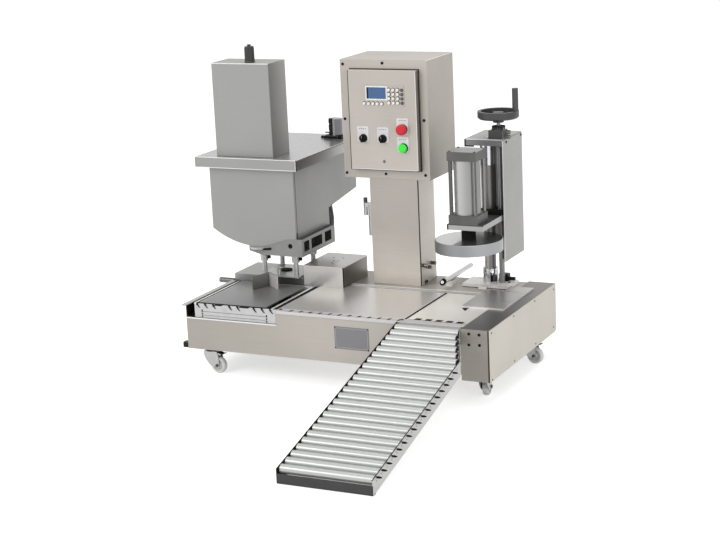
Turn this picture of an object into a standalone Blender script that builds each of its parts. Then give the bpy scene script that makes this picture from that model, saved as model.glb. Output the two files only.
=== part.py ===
# Automatic filling machine: a wheeled table with a weighing place, a filling head on four
# posts, a control box on a column, a lid press and a gravity roller slide.
# Metres, +Z up. The machine frame has X to the right, Y to the back and Z = 0 at the table's
# top; the root empty moves it so that the floor is Z = 0 and the box is centred.

import math

import bmesh
import bpy
from mathutils import Matrix, Vector

for old in list(bpy.data.objects):
    bpy.data.objects.remove(old)

# Shared
gap = 0.0003
overrun = 0.01
sheet = 0.003
running = 0.0003
round_sides = 28
small_sides = 16
roller_sides = 20
fine_sides = 12
disc_sides = 48
grip_sides = 24
edge_angle = math.radians(35)
fold_radius = 0.0012

# Table
base_length = 1.566
base_depth = 0.829
base_height = 0.222
plate_sheet = 0.003
caster_height = 0.125
block_width = 0.137
block_proud = 0.040
block_drop = 0.013
block_rise = 0.002
panel_sheet = 0.004
panel_corner = 0.022
head_middle_share = 0.105364
column_middle_share = 0.530332
gusset_x = 0.128
gusset_y = 0.155
gusset_sheet = 0.004

# Weighing place
recess_right = 0.484
recess_back = 0.463
recess_floor = -0.065
weigh_frame_left = 0.048
weigh_frame_front = 0.002
weigh_member = 0.010
weigh_front_member = 0.028
weigh_plate_left = 0.060
weigh_plate_right = 0.412
weigh_plate_front = 0.036
weigh_plate_back = 0.446
weigh_plate_sheet = 0.005
pedestal_x = (0.150, 0.320)
pedestal_y = (0.150, 0.340)
weigh_slot_first = 0.069
weigh_slot_pitch = 0.0438
weigh_slot_count = 10
weigh_slots_missing = (3, 6)
slot_width = 0.0045
slot_length = 0.016
slot_slant = math.radians(32)
side_bar_at = (0.470, -0.0055)
side_bar_radius = 0.0135
side_bar_reach = 0.080
corner_foot_reach = 0.028
corner_foot_depth = 0.030
corner_foot_z = (0.002, 0.028)
transfer_x = 0.445
transfer_z = -0.016
transfer_radius = 0.013
transfer_pin_radius = 0.004
transfer_pin_length = 0.008
stop_points = ((0.195, 0.311), (0.234, 0.413), (0.310, 0.354))
stop_height = 0.068
stop_sheet = 0.005
left_rail_x = (-0.004, 0.022)
left_rail_y = (-0.034, 0.455)
left_rail_sheet = 0.004

# Plates and rails on the table
front_rail_depth = 0.042
front_rail_lip = 0.015
front_rail_sheet = 0.002
rail_slot_first = 0.528
rail_slot_pitch = 0.050
rail_slot_margin = 0.020
centre_plate_right_inset = 0.438
outfeed_plate_left_inset = 0.435
bridge_right_inset = 0.076
bridge_y = (0.290, 0.590)
bridge_height = 0.0077
plates_back = 0.518
junction_to_rail = 0.008
rear_rail_inset = 0.266
rear_rail_y = (0.522, 0.545)
rear_rail_height = 0.006

# Rear deck and junction box
deck_left = 0.009
deck_side_margin = 0.039
deck_back = 0.700
deck_height = 0.039
deck_to_junction = 0.005
junction_to_column = 0.093
junction_back = 0.739
junction_height = 0.105

# Control column and box
column_x_offsets = (-0.1255, 0.1255)
column_y = (0.613, 0.807)
air_fittings = ((0.640, 0.096), (0.690, 0.076), (0.742, 0.084))
air_fitting_radius = 0.009
air_fitting_reach = 0.026
valve_y = 0.650
valve_bowl_x_offset = -0.1425
valve_bowl_radius = 0.0135
valve_bowl_z = (0.228, 0.378)
valve_arm_half = 0.011
valve_arm_z = (0.368, 0.389)
valve_stem_x_offset = -0.1705
valve_stem_radius = 0.010
valve_stem_z = (0.326, 0.413)
box_x_offsets = (-0.2575, 0.1945)
box_y = (0.613, 0.930)
box_z = (0.519, 1.091)
door_x_offsets = (-0.2025, 0.1505)
door_z = (0.566, 1.044)
door_proud = 0.036
door_sheet = 0.0025
door_ledge = 0.012
hinge_back = 0.007
hinge_out = 0.007
knuckle_radius = 0.0055
knuckle_height = 0.050
hinge_pin_radius = 0.0025
hinge_pin_reach = 0.040
hinge_level_shares = (0.22, 0.72)
keypad_x_offsets = (-0.1275, 0.0905)
keypad_z = (0.876, 0.976)
keypad_sheet = 0.002
screen_x_offsets = (-0.1025, -0.0025)
screen_z = (0.911, 0.965)
screen_rise = 0.002
key_radius = 0.0078
key_rise = 0.0035
key_columns = 4
key_rows = 4
key_first_offset = (0.0125, 0.954)
key_pitch = (0.0225, 0.0205)
row_keys = 5
row_first_offset = (-0.1175, 0.887)
row_pitch = 0.0228
control_hole_clearance = 0.0005
stop_offset = (0.0775, 0.768)
stop_cap_radius = 0.026
stop_cap_depth = 0.024
stop_stand = 0.010
start_offset = (0.0785, 0.679)
start_cap_radius = 0.0205
start_cap_depth = 0.014
start_stand = 0.008
stem_radius = 0.011
stem_inside = 0.016
selectors_x_offsets = (-0.1295, -0.0275)
selector_z = 0.720
selector_radius = 0.018
selector_depth = 0.016
selector_stand = 0.002
selector_bar = (0.009, 0.034, 0.008)

# Filling head
head_x_offsets = (-0.225, 0.235)
head_front = 0.400
head_back = 1.086
head_top = 0.5867
head_left_edge = 0.278
head_lowest = 0.196
head_lowest_x_offset = 0.030
head_flat_x_offset = 0.044
head_rise_x_offset = 0.191
head_rise_z = 0.242
head_right_edge = 0.244
head_step_y = 0.765
head_step_top_y = 0.762
head_arm_z = (0.328, 0.370)
arc_steps = 10
frame_x_offsets = (-0.028, 0.265)
frame_y = (0.402, 0.756)
frame_bottom = 0.156
frame_left_bottom = 0.174
frame_chamfer_x_offset = 0.040
frame_window_y = ((0.424, 0.478), (0.501, 0.617), (0.646, 0.717))
frame_window_z = (0.178, 0.228)
frame_window_depth = 0.050
frame_hole_offset = (0.200, 0.208)
frame_hole_radius = 0.010
frame_hole_depth = 0.020
lid_x_offsets = (-0.279, 0.278)
lid_y = (0.360, 1.095)
lid_height = 0.052
lid_rib_y = (0.580, 0.940)
lid_rib_width = 0.006
tower_x_offsets = (-0.177, 0.136)
tower_back = 0.567
tower_top = 1.093
fitting_offset = (0.015, 0.440)
fitting_foot_radius = 0.0255
fitting_body_radius = 0.024
fitting_shoulder_radius = 0.021
fitting_tip_radius = 0.009
fitting_tops = (1.100, 1.161, 1.170, 1.179)
regulator_offset = (0.180, 0.980)
regulator_bowl_radius = 0.024
regulator_top = 0.743
regulator_flange_x_offsets = (0.127, 0.207)
regulator_flange_y = (0.952, 1.008)
regulator_flange_z = (0.641, 0.655)
elbow_offsets = (
    (0.218, 0.795, 0.353),
    (0.223, 0.795, 0.308),
    (0.229, 0.793, 0.268),
    (0.229, 0.790, 0.228),
    (0.221, 0.780, 0.198),
    (0.214, 0.770, 0.189),
)
elbow_radius = 0.016
post_x_offsets = (0.013, 0.188)
post_y = (0.474, 0.657)
post_radius = 0.012
post_top = 0.183
post_foot_margin = 0.024
post_foot_height = 0.006
boss_radius = 0.020
boss_bottom = 0.123
collar_radius = 0.019
collar_height = 0.012
bore_over_post = 0.005
cup_offset = (0.087, 0.480)
cup_radius = 0.012
cup_flange_radius = 0.031
cup_flange_z = (0.080, 0.085)
deck_cap_offset = (0.083, 0.566)
deck_cap_radius = 0.030
deck_cap_height = 0.005

# Lid press
press_x_inset = 0.307
press_y = 0.501
guide_x_inset = 0.304
guide_y = 0.757
screw_x_inset = 0.234
screw_y = 0.729
plinth_x_insets = (0.416, 0.178)
plinth_y = (0.664, 0.800)
plinth_top = 0.014
foot_valve_x_insets = (0.260, 0.214)
foot_valve_y = (0.752, 0.784)
foot_valve_top = 0.050
foot_valve_nozzle_z = 0.026
foot_valve_nozzle_radius = 0.009
foot_valve_nozzle_reach = 0.030
foot_collar_radius = 0.037
foot_collar_top = 0.078
guide_radius = 0.0275
bracket_x_insets = (0.389, 0.203)
bracket_y = (0.684, 0.943)
bracket_z = (0.683, 0.714)
bracket_sheet = 0.005
top_collar_bottom = 0.583
gear_block_x_insets = (0.274, 0.204)
gear_block_y = (0.697, 0.766)
gear_block_top = 0.754
gear_knob_y = 0.732
gear_knob_z = (0.744, 0.722)
gear_knob_radius = 0.010
gear_knob_reach = 0.026
gear_collar_radius = 0.032
gear_collar_top = 0.773
shaft_radius = 0.009
screw_radius = 0.013
hub_bottom = 0.790
hub_radius = 0.026
rim_z = (0.809, 0.845)
rim_radius = 0.098
rim_band = 0.016
wheel_web = 0.007
grip_inset = 0.012
grip_radius = 0.0145
grip_top = 0.952
grip_pin_radius = 0.005
carriage_x_insets = (0.388, 0.208)
carriage_front = 0.436
carriage_z = (0.329, 0.355)
carriage_back = 0.800
clamp_x_insets = (0.334, 0.209)
clamp_front = 0.676
clamp_top = 0.373
cap_half_x = 0.072
cap_half_y = 0.065
lower_cap_height = 0.043
barrel_radius = 0.061
barrel_wall = 0.006
barrel_top = 0.653
upper_cap_top = 0.696
tie_rod_radius = 0.006
tie_rod_inset = 0.010
rod_radius = 0.012
piston_height = 0.020
piston_below_top = 0.008
piston_clearance = 0.001
disc_radius = 0.160
disc_z = (0.224, 0.278)
disc_wall = 0.006
hub_block_radius = 0.034
hub_block_top = 0.325
cover_sheet = 0.003
cover_bottom = 0.126
cover_top = 0.709

# Pusher
pusher_between_share = 0.680412
pusher_z = 0.035
pusher_radius = 0.012
pusher_y = (0.590, 0.933)
pusher_wall = 0.002
pusher_clamp_y = (0.650, 0.700)
pusher_clamp_half = 0.016
pusher_rod_radius = 0.005
pusher_pad_radius = 0.014
pusher_pad_y = (0.566, 0.580)
pusher_piston_from_front = 0.040
pusher_piston_length = 0.015

# Roller slide
slide_left_inset = 0.461
slide_right_inset = 0.0384
slide_slope = 0.24
slide_front = 0.003
slide_reach = 1.179
rail_sheet = 0.004
rail_height = 0.062
bend_y = 0.283
block_clearance = 0.002
roller_pitch = 0.050
roller_count = 24
loose_rollers = 14
roller_first = 0.025
roller_radius = 0.0205
roller_wall = 0.0015
roller_sink = 0.018
roller_end_play = 0.003
roller_end_disc = 0.006
axle_radius = 0.004
end_plate_top_drop = 0.028
end_flange = 0.024
top_bar_drop = 0.034
top_bar_height = 0.026

# Casters
caster_left_inset = 0.098
caster_right_inset = 0.080
left_caster_front = 0.054
rear_left_inset = 0.064
right_caster_front = 0.088
rear_right_inset = 0.181
pad_half = 0.040
pad_drop = 0.005
wheel_radius = 0.040
wheel_width = 0.028
wheel_trail = 0.038
tread_depth = 0.010
tread_round = 0.004
wheel_bore = 0.0053
hub_half = 0.0155
wheel_hub_radius = 0.014
wheel_web_half = 0.006
fork_inner = 0.0165
fork_sheet = 0.004
crown_radius = 0.030
crown_height = 0.012
crown_half = 0.024
fork_bridge = 0.005
fork_axle_radius = 0.005
fork_tip = 0.013


# Places along the table: the head and the column stand at shares of its length, and the press and
# the slide keep their distance from its right end
head_middle = base_length * head_middle_share
column_middle = base_length * column_middle_share
post_x = tuple(head_middle + offset for offset in post_x_offsets)
head_x = tuple(head_middle + offset for offset in head_x_offsets)
head_lowest_x = head_middle + head_lowest_x_offset
head_flat_x = head_middle + head_flat_x_offset
head_rise_x = head_middle + head_rise_x_offset
frame_x = tuple(head_middle + offset for offset in frame_x_offsets)
frame_chamfer_x = head_middle + frame_chamfer_x_offset
frame_hole_at = (head_middle + frame_hole_offset[0], frame_hole_offset[1])
lid_x = tuple(head_middle + offset for offset in lid_x_offsets)
tower_x = tuple(head_middle + offset for offset in tower_x_offsets)
fitting_at = (head_middle + fitting_offset[0], fitting_offset[1])
regulator_at = (head_middle + regulator_offset[0], regulator_offset[1])
regulator_flange_x = tuple(head_middle + offset for offset in regulator_flange_x_offsets)
cup_at = (head_middle + cup_offset[0], cup_offset[1])
deck_cap_at = (head_middle + deck_cap_offset[0], deck_cap_offset[1])
elbow_points = [(head_middle + x, y, z) for x, y, z in elbow_offsets]

column_x = tuple(column_middle + offset for offset in column_x_offsets)
valve_bowl_x = column_middle + valve_bowl_x_offset
valve_stem_x = column_middle + valve_stem_x_offset
box_x = tuple(column_middle + offset for offset in box_x_offsets)
door_x = tuple(column_middle + offset for offset in door_x_offsets)
keypad_x = tuple(column_middle + offset for offset in keypad_x_offsets)
screen_x = tuple(column_middle + offset for offset in screen_x_offsets)
key_first = (column_middle + key_first_offset[0], key_first_offset[1])
row_first = (column_middle + row_first_offset[0], row_first_offset[1])
stop_at = (column_middle + stop_offset[0], stop_offset[1])
start_at = (column_middle + start_offset[0], start_offset[1])
selectors_x = tuple(column_middle + offset for offset in selectors_x_offsets)

press_x = base_length - press_x_inset
guide_x = base_length - guide_x_inset
screw_x = base_length - screw_x_inset
plinth_x = tuple(base_length - inset for inset in plinth_x_insets)
foot_valve_x = tuple(base_length - inset for inset in foot_valve_x_insets)
bracket_x = tuple(base_length - inset for inset in bracket_x_insets)
gear_block_x = tuple(base_length - inset for inset in gear_block_x_insets)
carriage_x = tuple(base_length - inset for inset in carriage_x_insets)
clamp_x = tuple(base_length - inset for inset in clamp_x_insets)
slide_left = base_length - slide_left_inset
slide_right = base_length - slide_right_inset
centre_plate_right = base_length - centre_plate_right_inset
outfeed_plate_left = base_length - outfeed_plate_left_inset
bridge_right = base_length - bridge_right_inset

rim_inner = rim_radius - rim_band
grip_offset = rim_radius - grip_inset
deck_right = post_x[1] + deck_side_margin
junction_x = (deck_right + deck_to_junction, column_x[0] - junction_to_column)
rear_rail_x = (junction_x[1] + junction_to_rail, base_length - rear_rail_inset)
pusher_x = column_x[1] + pusher_between_share * (plinth_x[0] - column_x[1])
caster_x = (caster_left_inset, base_length - caster_right_inset)
left_casters_y = (left_caster_front, base_depth - rear_left_inset)
right_casters_y = (right_caster_front, base_depth - rear_right_inset)
caster_places = {
    "front_left": (caster_x[0], left_casters_y[0], -6.0),
    "rear_left": (caster_x[0], left_casters_y[1], 60.0),
    "front_right": (caster_x[1], right_casters_y[0], 97.0),
    "rear_right": (caster_x[1], right_casters_y[1], -8.0),
}


origin_x = (lid_x[0] + base_length) / 2
origin_y = (lid_y[1] - slide_reach) / 2
root = bpy.data.objects.new("machine_root", None)
root.location = (-origin_x, -origin_y, caster_height + base_height)
bpy.context.scene.collection.objects.link(root)


# Materials
def material(name, colour, roughness, metallic):
    made = bpy.data.materials.new(name)
    made.use_nodes = True
    shader = made.node_tree.nodes["Principled BSDF"]
    shader.inputs["Base Color"].default_value = (*colour, 1.0)
    shader.inputs["Roughness"].default_value = roughness
    shader.inputs["Metallic"].default_value = metallic
    return made


beige_sheet = material("beige_sheet", (0.55, 0.50, 0.43), 0.38, 0.9)
pale_sheet = material("pale_sheet", (0.70, 0.66, 0.60), 0.35, 0.9)
grey_sheet = material("grey_sheet", (0.45, 0.45, 0.44), 0.40, 0.9)
dark_metal = material("dark_metal", (0.10, 0.10, 0.10), 0.50, 0.8)
cast_grey = material("cast_grey", (0.36, 0.36, 0.36), 0.55, 0.7)
chrome = material("chrome", (0.75, 0.76, 0.78), 0.12, 1.0)
steel = material("steel", (0.62, 0.62, 0.62), 0.30, 1.0)
charcoal_paint = material("charcoal_paint", (0.05, 0.05, 0.05), 0.50, 0.2)
black_plastic = material("black_plastic", (0.02, 0.02, 0.02), 0.45, 0.0)
pale_plastic = material("pale_plastic", (0.75, 0.75, 0.72), 0.50, 0.0)
red_plastic = material("red_plastic", (0.72, 0.02, 0.03), 0.35, 0.0)
green_plastic = material("green_plastic", (0.04, 0.80, 0.08), 0.35, 0.0)
roller_steel = material("roller_steel", (0.74, 0.76, 0.74), 0.30, 0.9)
pale_nylon = material("pale_nylon", (0.80, 0.80, 0.78), 0.45, 0.0)


# Shapes, all in the machine frame
def block(low, high):
    """A box between two corners."""
    made = bmesh.new()
    bmesh.ops.create_cube(made, size=1)
    low = Vector(low)
    high = Vector(high)
    made.transform(Matrix.Translation((low + high) / 2) @ Matrix.Diagonal((*(high - low), 1)))
    return made


def prism(outline, axis, start, end):
    """An outline of (u, v) pairs pushed along one axis: u and v are the other two, in order."""
    made = bmesh.new()
    axis_index = "XYZ".index(axis)
    corners = []
    for u, v in outline:
        place = [u, v]
        place.insert(axis_index, start)
        corners.append(made.verts.new(place))
    face = made.faces.new(corners)
    push = Vector((0, 0, 0))
    push[axis_index] = end - start
    moved = bmesh.ops.extrude_face_region(made, geom=[face])["geom"]
    verts = [item for item in moved if isinstance(item, bmesh.types.BMVert)]
    bmesh.ops.translate(made, vec=push, verts=verts)
    bmesh.ops.recalc_face_normals(made, faces=made.faces)
    return made


def turned(profile, foot, direction, sides=round_sides):
    """A profile of (radius, height) pairs turned about the line from foot along direction."""
    made = bmesh.new()
    rings = []
    for radius, height in profile:
        if radius == 0:
            rings.append([made.verts.new((0, 0, height))])
            continue
        ring = []
        for step in range(sides):
            angle = math.tau * step / sides
            ring.append(made.verts.new((radius * math.cos(angle), radius * math.sin(angle), height)))
        rings.append(ring)
    pairs = list(zip(rings, rings[1:]))
    if profile[0][0] != 0:
        pairs.append((rings[-1], rings[0]))
    for lower, upper in pairs:
        for step in range(sides):
            after = (step + 1) % sides
            corners = [
                lower[step % len(lower)],
                lower[after % len(lower)],
                upper[after % len(upper)],
                upper[step % len(upper)],
            ]
            distinct = list(dict.fromkeys(corners))
            if len(distinct) > 2:
                made.faces.new(distinct)
    bmesh.ops.recalc_face_normals(made, faces=made.faces)
    turn = Vector((0, 0, 1)).rotation_difference(Vector(direction)).to_matrix().to_4x4()
    made.transform(Matrix.Translation(foot) @ turn)
    return made


def rod(start, end, radius, sides=round_sides):
    """A plain round bar between two points."""
    along = Vector(end) - Vector(start)
    profile = ((0, 0), (radius, 0), (radius, along.length), (0, along.length))
    return turned(profile, start, along, sides)


def bent_bar(points, radius, sides=small_sides):
    """A round bar that follows points, with a ring at each bend."""
    made = bmesh.new()
    path = [Vector(point) for point in points]
    across = Vector((1, 0, 0))
    rings = []
    for step, point in enumerate(path):
        along = (path[min(step + 1, len(path) - 1)] - path[max(step - 1, 0)]).normalized()
        across = (across - along * across.dot(along)).normalized()
        other = along.cross(across)
        ring = []
        for corner in range(sides):
            angle = math.tau * corner / sides
            ring.append(made.verts.new(point + radius * (across * math.cos(angle) + other * math.sin(angle))))
        rings.append(ring)
    for lower, upper in zip(rings, rings[1:]):
        for step in range(sides):
            after = (step + 1) % sides
            made.faces.new((lower[step], lower[after], upper[after], upper[step]))
    made.faces.new(rings[0])
    made.faces.new(rings[-1])
    bmesh.ops.recalc_face_normals(made, faces=made.faces)
    return made


def ring_profile(inner, outer, low, high):
    return ((inner, low), (outer, low), (outer, high), (inner, high))


def merged(*shapes):
    """Several shapes in one mesh, each still its own body."""
    made = bmesh.new()
    for shape in shapes:
        mesh = bpy.data.meshes.new("merging")
        shape.to_mesh(mesh)
        shape.free()
        made.from_mesh(mesh)
        bpy.data.meshes.remove(mesh)
    return made


# Objects
def solid(name, shape, look, pivot=(0, 0, 0)):
    """A visible piece whose origin lies at pivot."""
    shape.transform(Matrix.Translation(-Vector(pivot)))
    mesh = bpy.data.meshes.new(name)
    shape.to_mesh(mesh)
    shape.free()
    mesh.materials.append(look)
    mesh.shade_smooth()
    mesh.set_sharp_from_angle(angle=edge_angle)
    made = bpy.data.objects.new(name, mesh)
    made.parent = root
    made.location = pivot
    bpy.context.scene.collection.objects.link(made)
    return made


def helper(name, shape):
    """A hidden shape that a Boolean adds or takes away."""
    mesh = bpy.data.meshes.new(name)
    shape.to_mesh(mesh)
    shape.free()
    made = bpy.data.objects.new(name, mesh)
    made.parent = root
    made.hide_render = True
    made.display_type = "WIRE"
    bpy.context.scene.collection.objects.link(made)
    return made


def combine(target, operation, operand):
    change = target.modifiers.new(f"{operation.lower()} {operand.name}", "BOOLEAN")
    change.operation = operation
    change.solver = "EXACT"
    change.object = operand


def cut(target, shape, label):
    operand = helper(f"{target.name} {label}", shape)
    combine(target, "DIFFERENCE", operand)
    return operand


def fuse(target, shape, label):
    operand = helper(f"{target.name} {label}", shape)
    combine(target, "UNION", operand)
    return operand


def soften(target, width=fold_radius):
    """Small bevels on the folds of a sheet-metal piece."""
    change = target.modifiers.new("folds", "BEVEL")
    change.width = width
    change.segments = 1
    change.limit_method = "ANGLE"
    change.angle_limit = edge_angle


def open_shell(name, low, high, look, wall=sheet):
    """A folded cover, open underneath."""
    made = solid(name, block(low, high), look)
    inner_low = (low[0] + wall, low[1] + wall, low[2] - overrun)
    inner_high = (high[0] - wall, high[1] - wall, high[2] - wall)
    void = cut(made, block(inner_low, inner_high), "void")
    return made, void


# Derived levels
base_top = -plate_sheet - gap
seat = base_top + gap
block_left = base_length - block_width
block_right = base_length - panel_sheet - gap
base_right = block_left - gap
block_top = block_rise
underside = -base_height
deck_top = seat + deck_height


# Table pieces
def corner_gusset(x_wall, y_wall, x_sign, y_sign):
    """A flat corner plate inside a shell's foot, reaching from two walls."""
    low = (min(x_wall, x_wall + x_sign * gusset_x), min(y_wall, y_wall + y_sign * gusset_y), underside)
    far_x = max(x_wall, x_wall + x_sign * gusset_x)
    far_y = max(y_wall, y_wall + y_sign * gusset_y)
    return block(low, (far_x, far_y, underside + gusset_sheet))


def caster_pad(x, y):
    low = (x - pad_half, y - pad_half, underside - pad_drop)
    return block(low, (x + pad_half, y + pad_half, underside + gusset_sheet / 2))


def make_base():
    shell = solid("base_shell", block((0, 0, underside), (base_right, base_depth, base_top)), beige_sheet)
    inner_high = (base_right - sheet, base_depth - sheet, base_top - sheet)
    void = cut(shell, block((sheet, sheet, underside - overrun), inner_high), "void")
    pan_low = (-overrun, -overrun, recess_floor - sheet)
    pan = block(pan_low, (recess_right + sheet, recess_back + sheet, overrun))
    cut(void, pan, "pan")
    recess_high = (recess_right, recess_back, overrun)
    cut(shell, block((sheet, -overrun, recess_floor), recess_high), "recess")
    half = sheet / 2
    gussets = merged(
        corner_gusset(half, half, 1, 1),
        corner_gusset(half, base_depth - half, 1, -1),
    )
    fuse(shell, gussets, "gussets")
    pads = merged(*(caster_pad(caster_x[0], y) for y in left_casters_y))
    fuse(shell, pads, "caster pads")
    fuse(shell, rod((-side_bar_reach, *side_bar_at), (half, *side_bar_at), side_bar_radius, small_sides), "side bar")
    foot_low = (-corner_foot_reach, gap, underside + corner_foot_z[0])
    fuse(shell, block(foot_low, (half, corner_foot_depth, underside + corner_foot_z[1])), "corner foot")


def make_end_block():
    low = (block_left, -block_proud, underside - block_drop)
    block_shell, _ = open_shell("end_block", low, (block_right, base_depth, block_top), beige_sheet)
    half = sheet / 2
    span_x = (block_left + half, block_right - half)
    plates = []
    for y in right_casters_y:
        low = (span_x[0], y - gusset_y / 2, underside)
        plates.append(block(low, (span_x[1], y + gusset_y / 2, underside + gusset_sheet)))
    fuse(block_shell, merged(*plates), "gussets")
    fuse(block_shell, merged(*(caster_pad(caster_x[1], y) for y in right_casters_y)), "caster pads")


def make_side_panel():
    front = -block_proud
    bottom = underside - block_drop
    outline = [(front, bottom), (base_depth - panel_corner, bottom)]
    for step in range(1, 6):
        angle = math.radians(-90 + 90 * step / 6)
        along = base_depth - panel_corner + panel_corner * math.cos(angle)
        outline.append((along, bottom + panel_corner + panel_corner * math.sin(angle)))
    outline += [(base_depth, bottom + panel_corner), (base_depth, block_top), (front, block_top)]
    solid("side_panel", prism(outline, "X", base_length - panel_sheet, base_length), pale_sheet)


def slanted_slots(first, pitch, count, missing, y, level):
    """Slanted axle slots in a row along X, as one cutter."""
    slots = []
    for step in range(count):
        if step in missing:
            continue
        slot = block((-slot_width / 2, -slot_length / 2, -overrun), (slot_width / 2, slot_length / 2, overrun))
        slot.transform(
            Matrix.Translation((first + pitch * step, y, level)) @ Matrix.Rotation(slot_slant, 4, "Z")
        )
        slots.append(slot)
    return merged(*slots)


def make_rails_and_plates():
    lip_front = -gap - front_rail_sheet
    outline = (
        (lip_front, -front_rail_lip),
        (-gap, -front_rail_lip),
        (-gap, seat),
        (front_rail_depth, seat),
        (front_rail_depth, 0),
        (lip_front, 0),
    )
    front_rail = solid(
        "front_rail",
        prism(outline, "X", recess_right + sheet + gap, base_right),
        pale_sheet,
    )
    span = base_right - rail_slot_margin - rail_slot_first
    count = math.floor(span / rail_slot_pitch) + 1
    slots = slanted_slots(rail_slot_first, rail_slot_pitch, count, (), front_rail_depth - slot_length / 4, 0)
    cut(front_rail, slots, "axle slots")
    plates_front = front_rail_depth + gap
    left = recess_right + sheet + gap
    step_x = junction_x[1] + gap
    step_y = recess_back
    outline = (
        (left, plates_front),
        (centre_plate_right, plates_front),
        (centre_plate_right, plates_back),
        (step_x, plates_back),
        (step_x, step_y),
        (left, step_y),
    )
    solid("centre_plate", prism(outline, "Z", seat, 0), pale_sheet)
    low = (outfeed_plate_left, plates_front, seat)
    outfeed = solid("outfeed_plate", block(low, (base_right, plates_back, 0)), pale_sheet)
    bridge_low = block_top + gap
    bridge_top = bridge_low + bridge_height
    near = (rear_rail_x[1] + gap, bridge_y[0], -plate_sheet / 2)
    fuse(outfeed, block(near, (base_right, bridge_y[1], bridge_top)), "bridge foot")
    far = (base_right - plate_sheet, bridge_y[0], bridge_low)
    fuse(outfeed, block(far, (bridge_right, bridge_y[1], bridge_top)), "bridge plate")
    low = (rear_rail_x[0], rear_rail_y[0], seat)
    high = (rear_rail_x[1], rear_rail_y[1], seat + rear_rail_height)
    soften(solid("rear_rail", block(low, high), pale_sheet))
    low = (left_rail_x[0], left_rail_y[0], seat)
    high = (left_rail_x[1], left_rail_y[1], seat + left_rail_sheet)
    solid("left_rail", block(low, high), pale_sheet)


def make_weighing_place():
    frame_right = recess_right - gap
    frame_back = recess_back - gap
    low = (weigh_frame_left, weigh_frame_front, recess_floor + gap)
    frame = solid("weigh_frame", block(low, (frame_right, frame_back, seat)), pale_nylon)
    hole_low = (weigh_frame_left + weigh_member, weigh_frame_front + weigh_front_member, recess_floor - overrun)
    hole_high = (frame_right - weigh_member, frame_back - weigh_member, overrun)
    cut(frame, block(hole_low, hole_high), "opening")
    slots = slanted_slots(
        weigh_slot_first,
        weigh_slot_pitch,
        weigh_slot_count,
        weigh_slots_missing,
        weigh_frame_front + slot_length / 4,
        seat + overrun / 2,
    )
    cut(frame, slots, "axle slots")
    front_face = weigh_frame_front + weigh_front_member
    back_face = frame_back - weigh_member
    pin_reach = transfer_pin_length + gap
    bore_front = (transfer_x, front_face - pin_reach, transfer_z)
    bore_back = (transfer_x, back_face + pin_reach, transfer_z)
    bores = rod(bore_front, bore_back, transfer_pin_radius + running, small_sides)
    cut(frame, bores, "roller bores")

    plate_low = (weigh_plate_left, weigh_plate_front, -weigh_plate_sheet)
    plate_shape = block(plate_low, (weigh_plate_right, weigh_plate_back, 0))
    plate = solid("weigh_plate", plate_shape, grey_sheet)
    pedestal_low = (pedestal_x[0], pedestal_y[0], recess_floor + gap)
    pedestal_high = (pedestal_x[1], pedestal_y[1], -weigh_plate_sheet / 2)
    fuse(plate, block(pedestal_low, pedestal_high), "load cell pedestal")

    roller_front = front_face + roller_end_play
    roller_back = back_face - roller_end_play
    length = roller_back - roller_front
    reach = roller_end_play + transfer_pin_length
    profile = (
        (0, -reach),
        (transfer_pin_radius, -reach),
        (transfer_pin_radius, 0),
        (transfer_radius, 0),
        (transfer_radius, length),
        (transfer_pin_radius, length),
        (transfer_pin_radius, length + reach),
        (0, length + reach),
    )
    foot = (transfer_x, roller_front, transfer_z)
    solid("transfer_roller", turned(profile, foot, (0, 1, 0), small_sides), roller_steel, foot)

    solid("stop_bracket", bent_strip(stop_points, stop_sheet, gap, stop_height), dark_metal)


def bent_strip(points, thickness, floor, height):
    """A flat strip on edge that follows three points in plan."""
    sides = []
    for sign in (-0.5, 0.5):
        offset = sign * thickness
        normals = []
        for start, end in zip(points, points[1:]):
            along = Vector(end) - Vector(start)
            normals.append(Vector((-along.y, along.x)).normalized())
        middle = normals[0] + normals[1]
        middle = middle / middle.dot(normals[0])
        row = (
            Vector(points[0]) + normals[0] * offset,
            Vector(points[1]) + middle * offset,
            Vector(points[2]) + normals[1] * offset,
        )
        sides.append([tuple(corner) for corner in row])
    return prism(sides[0] + sides[1][::-1], "Z", floor, floor + height)


def make_deck_and_junction_box():
    low = (deck_left, recess_back + gap, seat)
    deck, _ = open_shell("rear_deck", low, (deck_right, deck_back, deck_top), grey_sheet)
    soften(deck)
    low = (junction_x[0], recess_back + gap, seat)
    high = (junction_x[1], junction_back, seat + junction_height)
    box, _ = open_shell("junction_box", low, high, pale_sheet)
    soften(box)


# Control column, box and door
def make_control_column():
    low = (column_x[0], column_y[0], seat)
    high = (column_x[1], column_y[1], box_z[0] - gap)
    column = solid("control_column", block(low, high), beige_sheet)
    inner_low = (low[0] + sheet, low[1] + sheet, low[2] - overrun)
    cut(column, block(inner_low, (high[0] - sheet, high[1] - sheet, high[2] + overrun)), "cable way")
    wall = high[0] - sheet / 2
    fittings = []
    for y, z in air_fittings:
        end = (high[0] + air_fitting_reach, y, z)
        fittings.append(rod((wall, y, z), end, air_fitting_radius, fine_sides))
    fuse(column, merged(*fittings), "air fittings")
    bowl_low, bowl_high = valve_bowl_z
    stem_low, stem_high = valve_stem_z
    arm_low = (valve_stem_x, valve_y - valve_arm_half, valve_arm_z[0])
    fuse(column, block(arm_low, (low[0] + sheet / 2, valve_y + valve_arm_half, valve_arm_z[1])), "valve arm")
    bowl = rod((valve_bowl_x, valve_y, bowl_low), (valve_bowl_x, valve_y, bowl_high), valve_bowl_radius, small_sides)
    fuse(column, bowl, "valve bowl")
    stem = rod((valve_stem_x, valve_y, stem_low), (valve_stem_x, valve_y, stem_high), valve_stem_radius, fine_sides)
    fuse(column, stem, "valve stem")


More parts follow.
